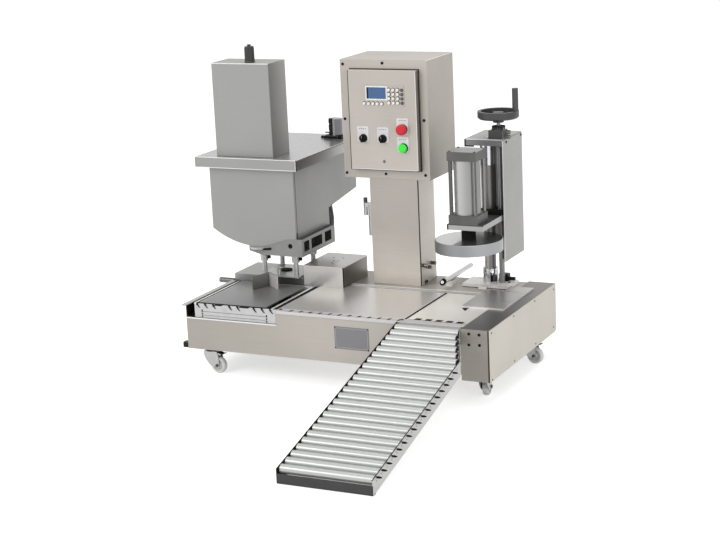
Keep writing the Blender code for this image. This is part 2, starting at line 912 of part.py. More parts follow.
hinge_axis = (door_x[0] - hinge_out, box_y[0] - hinge_back)
door_back = box_y[0] - gap
door_front = door_back - door_proud


def hinge_levels():
    span = door_z[1] - door_z[0]
    return [door_z[0] + share * span for share in hinge_level_shares]


def make_control_box():
    low = (box_x[0], box_y[0], box_z[0])
    high = (box_x[1], box_y[1], box_z[1])
    case = solid("control_box", block(low, high), beige_sheet)
    inner_low = (low[0] + sheet, low[1] + sheet, low[2] + sheet)
    cut(case, block(inner_low, (high[0] - sheet, high[1] - sheet, high[2] - sheet)), "void")
    mouth_low = (door_x[0] + door_ledge, low[1] - overrun, door_z[0] + door_ledge)
    mouth_high = (door_x[1] - door_ledge, low[1] + overrun, door_z[1] - door_ledge)
    cut(case, block(mouth_low, mouth_high), "door opening")
    cable_low = (column_x[0] + 2 * sheet, column_y[0] + 2 * sheet, low[2] - overrun)
    cable_high = (column_x[1] - 2 * sheet, column_y[1] - 2 * sheet, low[2] + overrun)
    cut(case, block(cable_low, cable_high), "cable opening")
    knuckles = []
    for level in hinge_levels():
        foot = (*hinge_axis, level)
        profile = (
            (0, -hinge_pin_reach),
            (hinge_pin_radius, -hinge_pin_reach),
            (hinge_pin_radius, 0),
            (knuckle_radius, 0),
            (knuckle_radius, knuckle_height / 2),
            (0, knuckle_height / 2),
        )
        knuckles.append(turned(profile, foot, (0, 0, 1), small_sides))
    fuse(case, merged(*knuckles), "hinge pins")
    leaves = []
    for level in hinge_levels():
        leaf_low = (hinge_axis[0] - knuckle_radius / 2, hinge_axis[1], level)
        leaf_high = (hinge_axis[0] + knuckle_radius / 2, low[1] + sheet / 2, level + knuckle_height / 2)
        leaves.append(block(leaf_low, leaf_high))
    fuse(case, merged(*leaves), "hinge leaves")


def make_door():
    low = (door_x[0], door_front, door_z[0])
    high = (door_x[1], door_back, door_z[1])
    door = solid("control_door", block(low, high), beige_sheet, (*hinge_axis, door_z[0]))
    inner_low = (low[0] + door_sheet, low[1] + door_sheet, low[2] + door_sheet)
    cut(door, block(inner_low, (high[0] - door_sheet, high[1] + overrun, high[2] - door_sheet)), "void")
    front_holes = []
    stem_hole = stem_radius + control_hole_clearance
    places = [stop_at, start_at] + [(x, selector_z) for x in selectors_x]
    for x, z in places:
        front_holes.append(rod((x, low[1] - overrun, z), (x, low[1] + overrun, z), stem_hole, small_sides))
    cut(door, merged(*front_holes), "control holes")
    barrels = []
    lugs = []
    for level in hinge_levels():
        top = level - gap
        foot = (*hinge_axis, top - knuckle_height)
        profile = ring_profile(hinge_pin_radius + running, knuckle_radius, 0, knuckle_height)
        barrels.append(turned(profile, foot, (0, 0, 1), small_sides))
        start_x = hinge_axis[0] + (hinge_pin_radius + knuckle_radius) / 2
        lug_low = (start_x, hinge_axis[1] - knuckle_radius / 2, foot[2])
        lug_high = (low[0] + door_sheet / 2, hinge_axis[1] + knuckle_radius / 2, top)
        lugs.append(block(lug_low, lug_high))
    fuse(door, merged(*barrels), "knuckles")
    fuse(door, merged(*lugs), "knuckle lugs")


def make_keypad():
    back = door_front - gap
    face = back - keypad_sheet
    low = (keypad_x[0], face, keypad_z[0])
    pad = solid("display_keypad", block(low, (keypad_x[1], back, keypad_z[1])), pale_plastic)
    raised = [block((screen_x[0], face - screen_rise, screen_z[0]), (screen_x[1], back - gap, screen_z[1]))]
    places = []
    for column in range(key_columns):
        for row in range(key_rows):
            places.append((key_first[0] + key_pitch[0] * column, key_first[1] - key_pitch[1] * row))
    for step in range(row_keys):
        places.append((row_first[0] + row_pitch * step, row_first[1]))
    for x, z in places:
        raised.append(rod((x, back - gap, z), (x, face - key_rise, z), key_radius, fine_sides))
    fuse(pad, merged(*raised), "screen and keys")


def make_button(name, at, cap_radius, cap_depth, stand, look):
    x, z = at
    cap_back = door_front - stand
    edge = cap_depth / 5
    profile = (
        (0, -stand - door_sheet - stem_inside),
        (stem_radius, -stand - door_sheet - stem_inside),
        (stem_radius, 0),
        (cap_radius - edge / 2, 0),
        (cap_radius, edge / 2),
        (cap_radius, cap_depth - edge),
        (cap_radius - edge, cap_depth),
        (0, cap_depth),
    )
    foot = (x, cap_back, z)
    solid(name, turned(profile, foot, (0, -1, 0)), look, foot)


def make_selector(name, x):
    back = door_front - selector_stand
    foot = (x, back, selector_z)
    profile = (
        (0, -selector_stand - door_sheet - stem_inside),
        (stem_radius, -selector_stand - door_sheet - stem_inside),
        (stem_radius, 0),
        (selector_radius, 0),
        (selector_radius, selector_depth),
        (0, selector_depth),
    )
    knob = solid(name, turned(profile, foot, (0, -1, 0)), black_plastic, foot)
    width, length, rise = selector_bar
    front = back - selector_depth
    low = (x - width / 2, front - rise, selector_z - length / 2)
    fuse(knob, block(low, (x + width / 2, front + rise / 2, selector_z + length / 2)), "grip bar")


# Filling head
def head_bottom(offset):
    """The housing's lower edge in X and Z, moved down by offset, from left to right."""
    rise = head_left_edge - head_lowest
    reach = head_lowest_x - head_x[0]
    radius = (reach * reach + rise * rise) / (2 * rise)
    points = []
    for step in range(arc_steps + 1):
        x = head_x[0] + reach * step / arc_steps
        z = head_lowest + radius - math.sqrt(radius * radius - (head_lowest_x - x) ** 2)
        points.append((x, z - offset))
    points.append((head_flat_x, head_lowest - offset))
    points.append((head_rise_x, head_rise_z - offset))
    points.append((head_x[1], head_right_edge - offset))
    return points


def make_housing():
    left, right = head_x
    outline = head_bottom(0) + [(right, head_top), (left, head_top)]
    housing = solid("head_housing", prism(outline, "Y", head_front, head_back), grey_sheet)

    def arm_cut(drop, x_low, x_high):
        bottom = head_lowest - overrun * 2
        slope_out = (head_arm_z[1] - head_arm_z[0]) / (head_back - head_step_top_y)
        far = head_back + overrun
        shape = (
            (head_step_y + drop, bottom),
            (head_step_top_y + drop, head_arm_z[0] - drop),
            (far, head_arm_z[1] + slope_out * overrun - drop),
            (far, bottom),
        )
        return prism(shape, "X", x_low, x_high)

    cut(housing, arm_cut(0, left - overrun, right + overrun), "arm underside")
    inner = [(min(max(x, left + sheet), right - sheet), z + sheet) for x, z in head_bottom(0)]
    inner += [(right - sheet, head_top + overrun), (left + sheet, head_top + overrun)]
    void = cut(housing, prism(inner, "Y", head_front + sheet, head_back - sheet), "void")
    cut(void, arm_cut(-sheet, left - overrun, right + overrun), "arm floor")
    fuse(housing, bent_bar(elbow_points, elbow_radius, fine_sides), "elbow")


def make_head_frame():
    top = [point for point in head_bottom(gap) if point[0] > frame_x[0]]
    left_top = frame_top_at(frame_x[0])
    top = [(frame_x[0], left_top)] + top
    top.append((frame_x[1], head_right_edge - gap))
    outline = top + [
        (frame_x[1], frame_bottom),
        (frame_chamfer_x, frame_bottom),
        (frame_x[0], frame_left_bottom),
    ]
    frame = solid("head_frame", prism(outline[::-1], "Y", *frame_y), cast_grey)
    bosses = []
    bores = []
    for x in post_x:
        for y in post_y:
            inside = frame_left_bottom + gusset_sheet / 2
            bosses.append(rod((x, y, boss_bottom), (x, y, inside), boss_radius))
            top_of_bore = post_top + bore_over_post
            bores.append(rod((x, y, boss_bottom - overrun), (x, y, top_of_bore), post_radius + running))
    fuse(frame, merged(*bosses), "bosses")
    cut(frame, merged(*bores), "post bores")
    windows = []
    for start, end in frame_window_y:
        low = (frame_x[1] - frame_window_depth, start, frame_window_z[0])
        windows.append(block(low, (frame_x[1] + overrun, end, frame_window_z[1])))
    return frame, windows


def frame_top_at(x):
    """The saddle's height under the housing's curve at x."""
    rise = head_left_edge - head_lowest
    reach = head_lowest_x - head_x[0]
    radius = (reach * reach + rise * rise) / (2 * rise)
    return head_lowest + radius - math.sqrt(radius * radius - (head_lowest_x - x) ** 2) - gap


def cut_frame_windows(frame, windows):
    """The side windows stop short of the post bores."""
    cut(frame, merged(*windows), "windows")
    x, z = frame_hole_at
    start = (x, frame_y[0] - overrun, z)
    cut(frame, rod(start, (x, frame_y[0] + frame_hole_depth, z), frame_hole_radius, small_sides), "hole")


def make_lid_and_tower():
    low = (lid_x[0], lid_y[0], head_top + gap)
    high = (lid_x[1], lid_y[1], head_top + gap + lid_height)
    lid, _ = open_shell("head_lid", low, high, grey_sheet)
    inside_top = high[2] - sheet / 2
    ribs = []
    for y in lid_rib_y:
        rib_high = (high[0] - sheet / 2, y + lid_rib_width, inside_top)
        ribs.append(block((low[0] + sheet / 2, y, low[2]), rib_high))
    fuse(lid, merged(*ribs), "ribs")
    bowl = rod((*regulator_at, inside_top), (*regulator_at, regulator_top), regulator_bowl_radius, small_sides)
    fuse(lid, bowl, "regulator bowl")
    flange_low, flange_high = zip(regulator_flange_x, regulator_flange_y, regulator_flange_z)
    fuse(lid, block(flange_low, flange_high), "regulator flange")
    tower_low = (tower_x[0], head_front, high[2] + gap)
    tower, _ = open_shell("head_tower", tower_low, (tower_x[1], tower_back, tower_top), grey_sheet)
    soften(tower)
    foot_top, body_top, shoulder_top, tip_top = fitting_tops
    profile = (
        (0, tower_top - sheet / 2),
        (fitting_foot_radius, tower_top - sheet / 2),
        (fitting_foot_radius, foot_top),
        (fitting_body_radius, foot_top),
        (fitting_body_radius, body_top),
        (fitting_shoulder_radius, shoulder_top),
        (fitting_tip_radius, shoulder_top),
        (fitting_tip_radius, tip_top),
        (0, tip_top),
    )
    fuse(tower, turned(profile, (*fitting_at, 0), (0, 0, 1), roller_sides), "top fitting")


def make_posts():
    foot_low = (post_x[0] - post_foot_margin, post_y[0] - post_foot_margin, deck_top + gap)
    foot_high = (post_x[1] + post_foot_margin, post_y[1] + post_foot_margin, deck_top + gap + post_foot_height)
    posts = solid("head_posts", block(foot_low, foot_high), chrome)
    bars = []
    collar_top = boss_bottom - gap
    for x in post_x:
        for y in post_y:
            start = foot_high[2] - post_foot_height / 2
            profile = (
                (0, start),
                (post_radius, start),
                (post_radius, collar_top - collar_height),
                (collar_radius, collar_top - collar_height),
                (collar_radius, collar_top),
                (post_radius, collar_top),
                (post_radius, post_top),
                (0, post_top),
            )
            bars.append(turned(profile, (x, y, 0), (0, 0, 1)))
    fuse(posts, merged(*bars), "posts")
    inside = foot_high[2] - post_foot_height / 2
    cup_profile = (
        (0, inside),
        (cup_radius, inside),
        (cup_radius, cup_flange_z[0]),
        (cup_flange_radius, cup_flange_z[0]),
        (cup_flange_radius, cup_flange_z[1]),
        (0, cup_flange_z[1]),
    )
    fuse(posts, turned(cup_profile, (*cup_at, 0), (0, 0, 1), small_sides), "cup")
    cap = rod((*deck_cap_at, inside), (*deck_cap_at, foot_high[2] + deck_cap_height), deck_cap_radius, small_sides)
    fuse(posts, cap, "deck cap")


# Lid press
def make_press_column():
    low = (plinth_x[0], plinth_y[0], seat)
    column = solid("press_column", block(low, (plinth_x[1], plinth_y[1], plinth_top)), steel)
    under = plinth_top - sheet
    top = bracket_z[1] - bracket_sheet - gap
    profile = (
        (0, under),
        (foot_collar_radius, under),
        (foot_collar_radius, foot_collar_top),
        (guide_radius, foot_collar_top),
        (guide_radius, top),
        (0, top),
    )
    fuse(column, turned(profile, (guide_x, guide_y, 0), (0, 0, 1)), "guide")
    valve_low = (foot_valve_x[0], foot_valve_y[0], under)
    fuse(column, block(valve_low, (foot_valve_x[1], foot_valve_y[1], foot_valve_top)), "foot valve")
    nozzle_y = (foot_valve_y[0] + foot_valve_y[1]) / 2
    start = (foot_valve_x[1] - sheet, nozzle_y, foot_valve_nozzle_z)
    end = (foot_valve_x[1] + foot_valve_nozzle_reach, nozzle_y, foot_valve_nozzle_z)
    fuse(column, rod(start, end, foot_valve_nozzle_radius, fine_sides), "foot nozzle")


def make_press_bracket():
    low = (bracket_x[0], bracket_y[0], bracket_z[0])
    bracket, void = open_shell(
        "press_bracket", low, (bracket_x[1], bracket_y[1], bracket_z[1]), grey_sheet, bracket_sheet
    )
    inside_top = bracket_z[1] - bracket_sheet / 2
    collar = ring_profile(guide_radius + running, foot_collar_radius, top_collar_bottom, inside_top)
    fuse(bracket, turned(collar, (guide_x, guide_y, 0), (0, 0, 1)), "guide collar")
    cut(bracket, rod((guide_x, guide_y, top_collar_bottom - overrun),
                     (guide_x, guide_y, bracket_z[1] - bracket_sheet), guide_radius + running), "guide seat")
    gear_low = (gear_block_x[0], gear_block_y[0], inside_top)
    gear_box = block(gear_low, (gear_block_x[1], gear_block_y[1], gear_block_top))
    fuse(bracket, gear_box, "gear block")
    top_collar = rod((screw_x, screw_y, gear_block_top - sheet), (screw_x, screw_y, gear_collar_top),
                     gear_collar_radius)
    fuse(bracket, top_collar, "gear collar")
    knobs = []
    for level in gear_knob_z:
        start = (gear_block_x[1] - sheet, gear_knob_y, level)
        end = (gear_block_x[1] + gear_knob_reach, gear_knob_y, level)
        knobs.append(rod(start, end, gear_knob_radius, fine_sides))
    for count, knob in enumerate(knobs):
        fuse(bracket, knob, f"gear knob {count + 1}")
    bore = rod((screw_x, screw_y, bracket_z[0] - overrun), (screw_x, screw_y, gear_collar_top + overrun),
               shaft_radius + running)
    cut(bracket, bore, "shaft bore")


def make_handwheel():
    screw_top = bracket_z[0] - gap
    profile = (
        (0, plinth_top + gap),
        (screw_radius, plinth_top + gap),
        (screw_radius, screw_top),
        (shaft_radius, screw_top),
        (shaft_radius, hub_bottom),
        (hub_radius, hub_bottom),
        (hub_radius, rim_z[0] - wheel_web / 2),
        (rim_inner, rim_z[0] + wheel_web / 2),
        (rim_radius - wheel_web, rim_z[0]),
        (rim_radius, rim_z[0] + wheel_web),
        (rim_radius, rim_z[1]),
        (rim_inner, rim_z[1]),
        (rim_inner, rim_z[0] + 2 * wheel_web),
        (hub_radius, rim_z[0] + wheel_web),
        (hub_radius, rim_z[1] - wheel_web),
        (0, rim_z[1] - wheel_web),
    )
    pivot = (screw_x, screw_y, plinth_top + gap)
    shifted = [(radius, height - pivot[2]) for radius, height in profile]
    wheel = solid("press_handwheel", turned(shifted, pivot, (0, 0, 1)), dark_metal, pivot)
    grip_x = screw_x + grip_offset
    pin_start = (grip_x, screw_y, rim_z[1] - wheel_web)
    pin_end = (grip_x, screw_y, grip_top - wheel_web)
    fuse(wheel, rod(pin_start, pin_end, grip_pin_radius, small_sides), "grip pin")
    bottom = rim_z[1] + gap
    bore = grip_pin_radius + running
    profile = (
        (bore, 0),
        (grip_radius, 0),
        (grip_radius, grip_top - bottom),
        (0, grip_top - bottom),
        (0, grip_top - bottom - wheel_web + gap),
        (bore, grip_top - bottom - wheel_web + gap),
    )
    pivot = (grip_x, screw_y, bottom)
    solid("handwheel_grip", turned(profile, pivot, (0, 0, 1), grip_sides), black_plastic, pivot)


def make_carriage():
    low = (carriage_x[0], carriage_front, carriage_z[0])
    carriage = solid("press_carriage", block(low, (carriage_x[1], carriage_back, carriage_z[1])), grey_sheet)
    clamp_low = (clamp_x[0], clamp_front, carriage_z[1] - sheet)
    fuse(carriage, block(clamp_low, (clamp_x[1], carriage_back, clamp_top)), "clamp")
    sleeve_top = top_collar_bottom - gap
    sleeve = rod((guide_x, guide_y, clamp_top - sheet), (guide_x, guide_y, sleeve_top), foot_collar_radius)
    fuse(carriage, sleeve, "sleeve")
    bottom = carriage_z[0] - overrun
    bores = merged(
        rod((guide_x, guide_y, bottom), (guide_x, guide_y, sleeve_top + overrun), guide_radius + running),
        rod((screw_x, screw_y, bottom), (screw_x, screw_y, clamp_top + overrun), screw_radius + running),
        rod((press_x, press_y, bottom), (press_x, press_y, carriage_z[1] + overrun), rod_radius + running),
    )
    cut(carriage, bores, "bores")


def make_press_cylinder():
    bottom = carriage_z[1] + gap
    lower_top = bottom + lower_cap_height
    left, right = press_x - cap_half_x, press_x + cap_half_x
    front, back = press_y - cap_half_y, press_y + cap_half_y
    cylinder = solid("press_cylinder", block((left, front, bottom), (right, back, lower_top)), cast_grey)
    fuse(cylinder, block((left, front, barrel_top), (right, back, upper_cap_top)), "upper cap")
    middle_start = (press_x, press_y, lower_top - sheet)
    middle_end = (press_x, press_y, barrel_top + sheet)
    fuse(cylinder, rod(middle_start, middle_end, barrel_radius), "barrel")
    rods = []
    for x in (left + tie_rod_inset, right - tie_rod_inset):
        for y in (front + tie_rod_inset, back - tie_rod_inset):
            rods.append(rod((x, y, lower_top - sheet), (x, y, barrel_top + sheet), tie_rod_radius, fine_sides))
    fuse(cylinder, merged(*rods), "tie rods")
    bore = barrel_radius - barrel_wall
    chamber = rod((press_x, press_y, lower_top), (press_x, press_y, barrel_top), bore)
    cut(cylinder, chamber, "chamber")
    passage_start = (press_x, press_y, bottom - overrun)
    cut(cylinder, rod(passage_start, (press_x, press_y, lower_top + overrun), rod_radius + running), "rod bore")


def make_press_disc():
    piston_top = barrel_top - piston_below_top
    piston_bottom = piston_top - piston_height
    bore = barrel_radius - barrel_wall - piston_clearance
    low, high = disc_z
    profile = (
        (0, high - disc_wall),
        (disc_radius - disc_wall, high - disc_wall),
        (disc_radius - disc_wall, low),
        (disc_radius, low),
        (disc_radius, high - disc_wall / 2),
        (disc_radius - disc_wall / 2, high),
        (hub_block_radius, high),
        (hub_block_radius, hub_block_top),
        (rod_radius, hub_block_top),
        (rod_radius, piston_bottom),
        (bore, piston_bottom),
        (bore, piston_top),
        (0, piston_top),
    )
    pivot = (press_x, press_y, high)
    shifted = [(radius, height - high) for radius, height in profile]
    solid("press_disc", turned(shifted, pivot, (0, 0, 1), disc_sides), steel, pivot)


def make_press_cover():
    x = bracket_x[1] + gap
    low = (x, bracket_y[0], cover_bottom)
    solid("press_cover", block(low, (x + cover_sheet, bracket_y[1], cover_top)), grey_sheet)


# Pusher
def make_pusher():
    start, end = pusher_y
    length = end - start
    inner = pusher_radius - pusher_wall
    bore = pusher_rod_radius + running
    profile = (
        (bore, 0),
        (pusher_radius, 0),
        (pusher_radius, length),
        (0, length),
        (0, length - overrun),
        (inner, length - overrun),
        (inner, overrun),
        (bore, overrun),
    )
    foot = (pusher_x, start, pusher_z)
    body = solid("pusher_cylinder", turned(profile, foot, (0, 1, 0), grip_sides), steel)
    low = (pusher_x - pusher_clamp_half, pusher_clamp_y[0], seat)
    high = (pusher_x + pusher_clamp_half, pusher_clamp_y[1], pusher_z - inner - pusher_wall / 2)
    fuse(body, block(low, high), "clamp")
    pad_start, pad_end = pusher_pad_y
    piston_start = start + pusher_piston_from_front - pad_start
    piston_end = piston_start + pusher_piston_length
    pad_length = pad_end - pad_start
    profile = (
        (0, 0),
        (pusher_pad_radius, 0),
        (pusher_pad_radius, pad_length),
        (pusher_rod_radius, pad_length),
        (pusher_rod_radius, piston_start + pusher_back_stroke),
        (inner - running, piston_start + pusher_back_stroke),
        (inner - running, piston_end + pusher_back_stroke),
        (0, piston_end + pusher_back_stroke),
    )
    pivot = (pusher_x, pad_start, pusher_z)
    solid("pusher_rod", turned(profile, pivot, (0, 1, 0), grip_sides), chrome, pivot)


pusher_back_stroke = pusher_y[1] - pusher_y[0] - 2 * pusher_piston_from_front


# Roller slide
def slide_top(y):
    """Height of the rails' upper edge; y runs negative down the slide."""
    return slide_slope * y


slide_angle = math.atan(slide_slope)
block_corner_x = block_left - block_clearance - rail_sheet
bend_x = slide_right - rail_sheet


def right_inner_face(y):
    """X of the right rail's inner face: straight, with a slanted part beside the end block."""
    if y > -block_proud:
        return block_corner_x
    if y < -bend_y:
        return bend_x
    share = (-y - block_proud) / (bend_y - block_proud)
    return block_corner_x + share * (bend_x - block_corner_x)


def rail_shape(plan, side):
    """A web on edge that follows (x, y) points down the slope, thickened towards +X or -X."""
    made = bmesh.new()
    rows = []
    for x, y in plan:
        top = slide_top(y)
        row = []
        for across, level in ((0, top), (rail_sheet * side, top), (rail_sheet * side, top - rail_height),
                              (0, top - rail_height)):
            row.append(made.verts.new((x + across, y, level)))
        rows.append(row)
    for near, far in zip(rows, rows[1:]):
        for step in range(4):
            after = (step + 1) % 4
            made.faces.new((near[step], near[after], far[after], far[step]))
    made.faces.new(rows[0])
    made.faces.new(rows[-1])
    bmesh.ops.recalc_face_normals(made, faces=made.faces)
    return made


def roller_place(step):
    """Y and Z of a roller's axis, and the X of its right end."""
    along = roller_first + roller_pitch * step
    y = -slide_front - along * math.cos(slide_angle)
    z = slide_top(y) - roller_sink / math.cos(slide_angle)
    right = min(right_inner_face(y + roller_radius), right_inner_face(y - roller_radius))
    return y, z, right - roller_end_play


def roller_profile(length, solid_end):
    """A tube with end discs; a joined roller has one disc, closed on its axle."""
    bore = axle_radius + running
    inner = roller_radius - roller_wall
    if solid_end:
        return (
            (axle_radius / 2, 0),
            (roller_radius, 0),
            (roller_radius, length),
            (inner, length),
            (inner, roller_end_disc),
            (axle_radius / 2, roller_end_disc),
        )
    return (
        (bore, 0),
        (roller_radius, 0),
        (roller_radius, length),
        (bore, length),
        (bore, length - roller_end_disc),
        (inner, length - roller_end_disc),
        (inner, roller_end_disc),
        (bore, roller_end_disc),
    )


def make_slide():
    start_y = -slide_front
    end_y = -slide_reach
    right_plan = (
        (block_corner_x, start_y),
        (block_corner_x, -block_proud),
        (bend_x, -bend_y),
        (bend_x, end_y),
    )
    left_plan = ((slide_left, start_y), (slide_left, end_y))
    frame = solid("slide_frame", rail_shape(left_plan, 1), charcoal_paint)
    fuse(frame, rail_shape(right_plan, 1), "right rail")
    end_bottom = slide_top(end_y) - rail_height
    end_top = slide_top(end_y) - end_plate_top_drop
    face = block((slide_left, end_y, end_bottom), (slide_right, end_y + rail_sheet, end_top))
    fuse(frame, face, "end plate")
    flange_high = (slide_right - rail_sheet / 2, end_y + end_flange, end_bottom + rail_sheet)
    flange = block((slide_left + rail_sheet / 2, end_y + rail_sheet / 2, end_bottom), flange_high)
    fuse(frame, flange, "end flange")
    bar_top = -top_bar_drop
    bar_low = (slide_left + rail_sheet / 2, start_y - rail_sheet, bar_top - top_bar_height)
    fuse(frame, block(bar_low, (block_corner_x + rail_sheet / 2, start_y, bar_top)), "top bar")
    axles = []
    drums = []
    roller_left = slide_left + rail_sheet + roller_end_play
    for step in range(roller_count):
        y, z, right = roller_place(step)
        far = max(right_inner_face(y + axle_radius), right_inner_face(y - axle_radius)) + rail_sheet / 2
        axles.append(rod((slide_left + rail_sheet / 2, y, z), (far, y, z), axle_radius, fine_sides))
        length = right - roller_left
        foot = (roller_left, y, z)
        if step < roller_count - loose_rollers:
            drums.append(turned(roller_profile(length, True), foot, (1, 0, 0), roller_sides))
            continue
        number = step - (roller_count - loose_rollers) + 1
        shape = turned(roller_profile(length, False), foot, (1, 0, 0), roller_sides)
        solid(f"slide_roller_{number:02d}", shape, roller_steel, foot)
    fuse(frame, merged(*axles), "axles")
    fuse(frame, merged(*drums), "joined rollers")


# Casters
def make_caster(place, x, y, degrees):
    angle = math.radians(degrees)
    turn = Matrix.Translation((x, y, underside)) @ Matrix.Rotation(angle, 4, "Z")
    axle_z = -caster_height + wheel_radius
    crown_top = -pad_drop - gap
    crown_bottom = crown_top - crown_height
    crown = turned(((0, crown_bottom), (crown_radius, crown_bottom), (crown_radius, crown_top), (0, crown_top)),
                   (0, 0, 0), (0, 0, 1))
    crown.transform(turn)
    fork = solid(f"caster_fork_{place}", crown, steel, (x, y, underside + crown_top))
    outer = fork_inner + fork_sheet
    bridge = block((-crown_half, -outer, crown_bottom - fork_bridge), (crown_half, outer, crown_bottom + gap))
    bridge.transform(turn)
    fuse(fork, bridge, "bridge")
    arm_outline = (
        (-crown_half, crown_bottom),
        (-crown_half, crown_bottom - 2 * fork_bridge),
        (wheel_trail - fork_tip, axle_z - fork_tip),
        (wheel_trail + fork_tip / 2, axle_z - fork_tip),
        (wheel_trail + fork_tip, axle_z),
        (crown_half, crown_bottom),
    )
    arms = merged(
        prism(arm_outline, "Y", fork_inner, outer),
        prism(arm_outline, "Y", -outer, -fork_inner),
    )
    arms.transform(turn)
    fuse(fork, arms, "arms")
    half = fork_inner + fork_sheet / 2
    axle = rod((wheel_trail, -half, axle_z), (wheel_trail, half, axle_z), fork_axle_radius, small_sides)
    axle.transform(turn)
    fuse(fork, axle, "axle")

    half = wheel_width / 2
    profile = (
        (wheel_bore, -hub_half),
        (wheel_hub_radius, -hub_half),
        (wheel_hub_radius, -wheel_web_half),
        (wheel_radius - tread_depth, -wheel_web_half),
        (wheel_radius - tread_depth, -half),
        (wheel_radius - tread_round, -half),
        (wheel_radius, -half + tread_round),
        (wheel_radius, half - tread_round),
        (wheel_radius - tread_round, half),
        (wheel_radius - tread_depth, half),
        (wheel_radius - tread_depth, wheel_web_half),
        (wheel_hub_radius, wheel_web_half),
        (wheel_hub_radius, hub_half),
        (wheel_bore, hub_half),
    )
    wheel = turned(profile, (wheel_trail, 0, axle_z), (0, 1, 0))
    wheel.transform(turn)
    centre = turn @ Vector((wheel_trail, 0, axle_z))
    solid(f"caster_wheel_{place}", wheel, pale_nylon, tuple(centre))


# The machine
make_base()
make_end_block()
make_side_panel()
make_rails_and_plates()
make_weighing_place()
make_deck_and_junction_box()
make_control_column()
make_control_box()
make_door()
make_keypad()
make_button("stop_button", stop_at, stop_cap_radius, stop_cap_depth, stop_stand, red_plastic)
make_button("start_button", start_at, start_cap_radius, start_cap_depth, start_stand, green_plastic)
make_selector("selector_left", selectors_x[0])
make_selector("selector_right", selectors_x[1])
make_housing()
cut_frame_windows(*make_head_frame())
make_lid_and_tower()
make_posts()
make_press_column()
make_press_bracket()
make_handwheel()
make_carriage()
make_press_cylinder()
make_press_disc()
make_press_cover()
make_pusher()
make_slide()
for caster_name, (caster_at_x, caster_at_y, swivel) in caster_places.items():
    make_caster(caster_name, caster_at_x, caster_at_y, swivel)
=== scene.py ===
import math

import bmesh
import bpy
from mathutils import Matrix, Vector


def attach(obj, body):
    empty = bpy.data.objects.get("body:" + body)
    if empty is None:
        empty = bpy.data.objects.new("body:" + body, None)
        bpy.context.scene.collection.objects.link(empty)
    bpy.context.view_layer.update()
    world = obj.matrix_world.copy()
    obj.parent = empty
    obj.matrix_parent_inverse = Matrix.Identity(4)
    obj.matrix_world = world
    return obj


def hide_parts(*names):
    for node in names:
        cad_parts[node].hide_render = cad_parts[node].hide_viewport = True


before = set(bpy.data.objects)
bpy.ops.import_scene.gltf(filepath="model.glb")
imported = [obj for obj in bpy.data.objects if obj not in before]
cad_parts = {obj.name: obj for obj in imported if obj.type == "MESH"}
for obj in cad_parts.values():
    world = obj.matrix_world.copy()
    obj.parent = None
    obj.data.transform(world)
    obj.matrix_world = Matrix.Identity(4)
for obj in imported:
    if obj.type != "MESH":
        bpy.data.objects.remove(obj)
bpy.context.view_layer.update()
machineOrigin = Vector((-0.726, 0.042, 0.125))  # the table's front left corner, at its underside
right, front, up, back = (1, 0, 0), (0, -1, 0), (0, 0, 1), (0, 1, 0)
print("machine frame loaded")

# Small shapes, in the machine's own measures: X to the right, Y to the back, Z = 0 under the table
sharpFrom = math.radians(30)  # edges that turn more than this get a bevel
bevelRoundness = 0.6


def soften(shape, width, segments=2):
    if width:
        shape.normal_update()
        sharp = [edge for edge in shape.edges
                 if len(edge.link_faces) == 2 and edge.calc_face_angle() > sharpFrom]
        bmesh.ops.bevel(shape, geom=sharp, offset=width, segments=segments, profile=bevelRoundness,
                        affect="EDGES", clamp_overlap=True)
    return shape


def boxShape(low, high, edge, segments=1):
    shape = bmesh.new()
    bmesh.ops.create_cube(shape, size=1.0)
    low, high = Vector(low), Vector(high)
    shape.transform(Matrix.Translation((low + high) / 2) @ Matrix.Diagonal((*(high - low), 1.0)))
    return soften(shape, edge, segments)


def roundCorners(profile, radius, steps=3):
    # each inner corner of a (radius, height) line becomes a small arc
    points = [Vector(point) for point in profile]
    rounded = [points[0]]
    for before, here, after in zip(points, points[1:], points[2:]):
        reach = min(radius, (before - here).length * 0.45, (after - here).length * 0.45)
        start = here + (before - here).normalized() * reach
        end = here + (after - here).normalized() * reach
        for step in range(steps + 1):
            t = step / steps
            rounded.append(start * (1 - t) ** 2 + here * 2 * t * (1 - t) + end * t * t)
    return [tuple(point) for point in rounded + [points[-1]]]


def turnedShape(profile, foot=(0, 0, 0), direction=up, sides=40, edge=0.0008):
    # a line that starts on the axis makes a solid, any other one makes a closed ring
    shape = bmesh.new()
    closed = profile[0][0] > 0
    line = roundCorners(list(profile) + list(profile[:2] if closed else ()), edge)
    if closed:
        line = line[1:-1]
    circle = [(math.cos(math.tau * k / sides), math.sin(math.tau * k / sides)) for k in range(sides)]
    rings = []
    for radius, height in line:
        corners = circle if radius > 1e-7 else [(0, 0)]
        rings.append([shape.verts.new((radius * x, radius * y, height)) for x, y in corners])
    for lower, upper in list(zip(rings, rings[1:])) + ([(rings[-1], rings[0])] if closed else []):
        for k in range(sides):
            after = (k + 1) % sides
            corners = list(dict.fromkeys((lower[k % len(lower)], lower[after % len(lower)],
                                          upper[after % len(upper)], upper[k % len(upper)])))
            if len(corners) > 2:
                shape.faces.new(corners)
    bmesh.ops.recalc_face_normals(shape, faces=shape.faces)
    turn = Vector(up).rotation_difference(Vector(direction)).to_matrix().to_4x4()
    shape.transform(Matrix.Translation(foot) @ turn)
    return shape


def band(inner, outer, low, high):
    # profile of a plain ring, or of a disc where the inner radius is 0
    return (inner, low), (outer, low), (outer, high), (inner, high)


def rodShape(start, end, radius, sides, edge=0.0008):
    along = Vector(end) - Vector(start)
    return turnedShape(band(0, radius, 0, along.length), start, along, sides, edge)


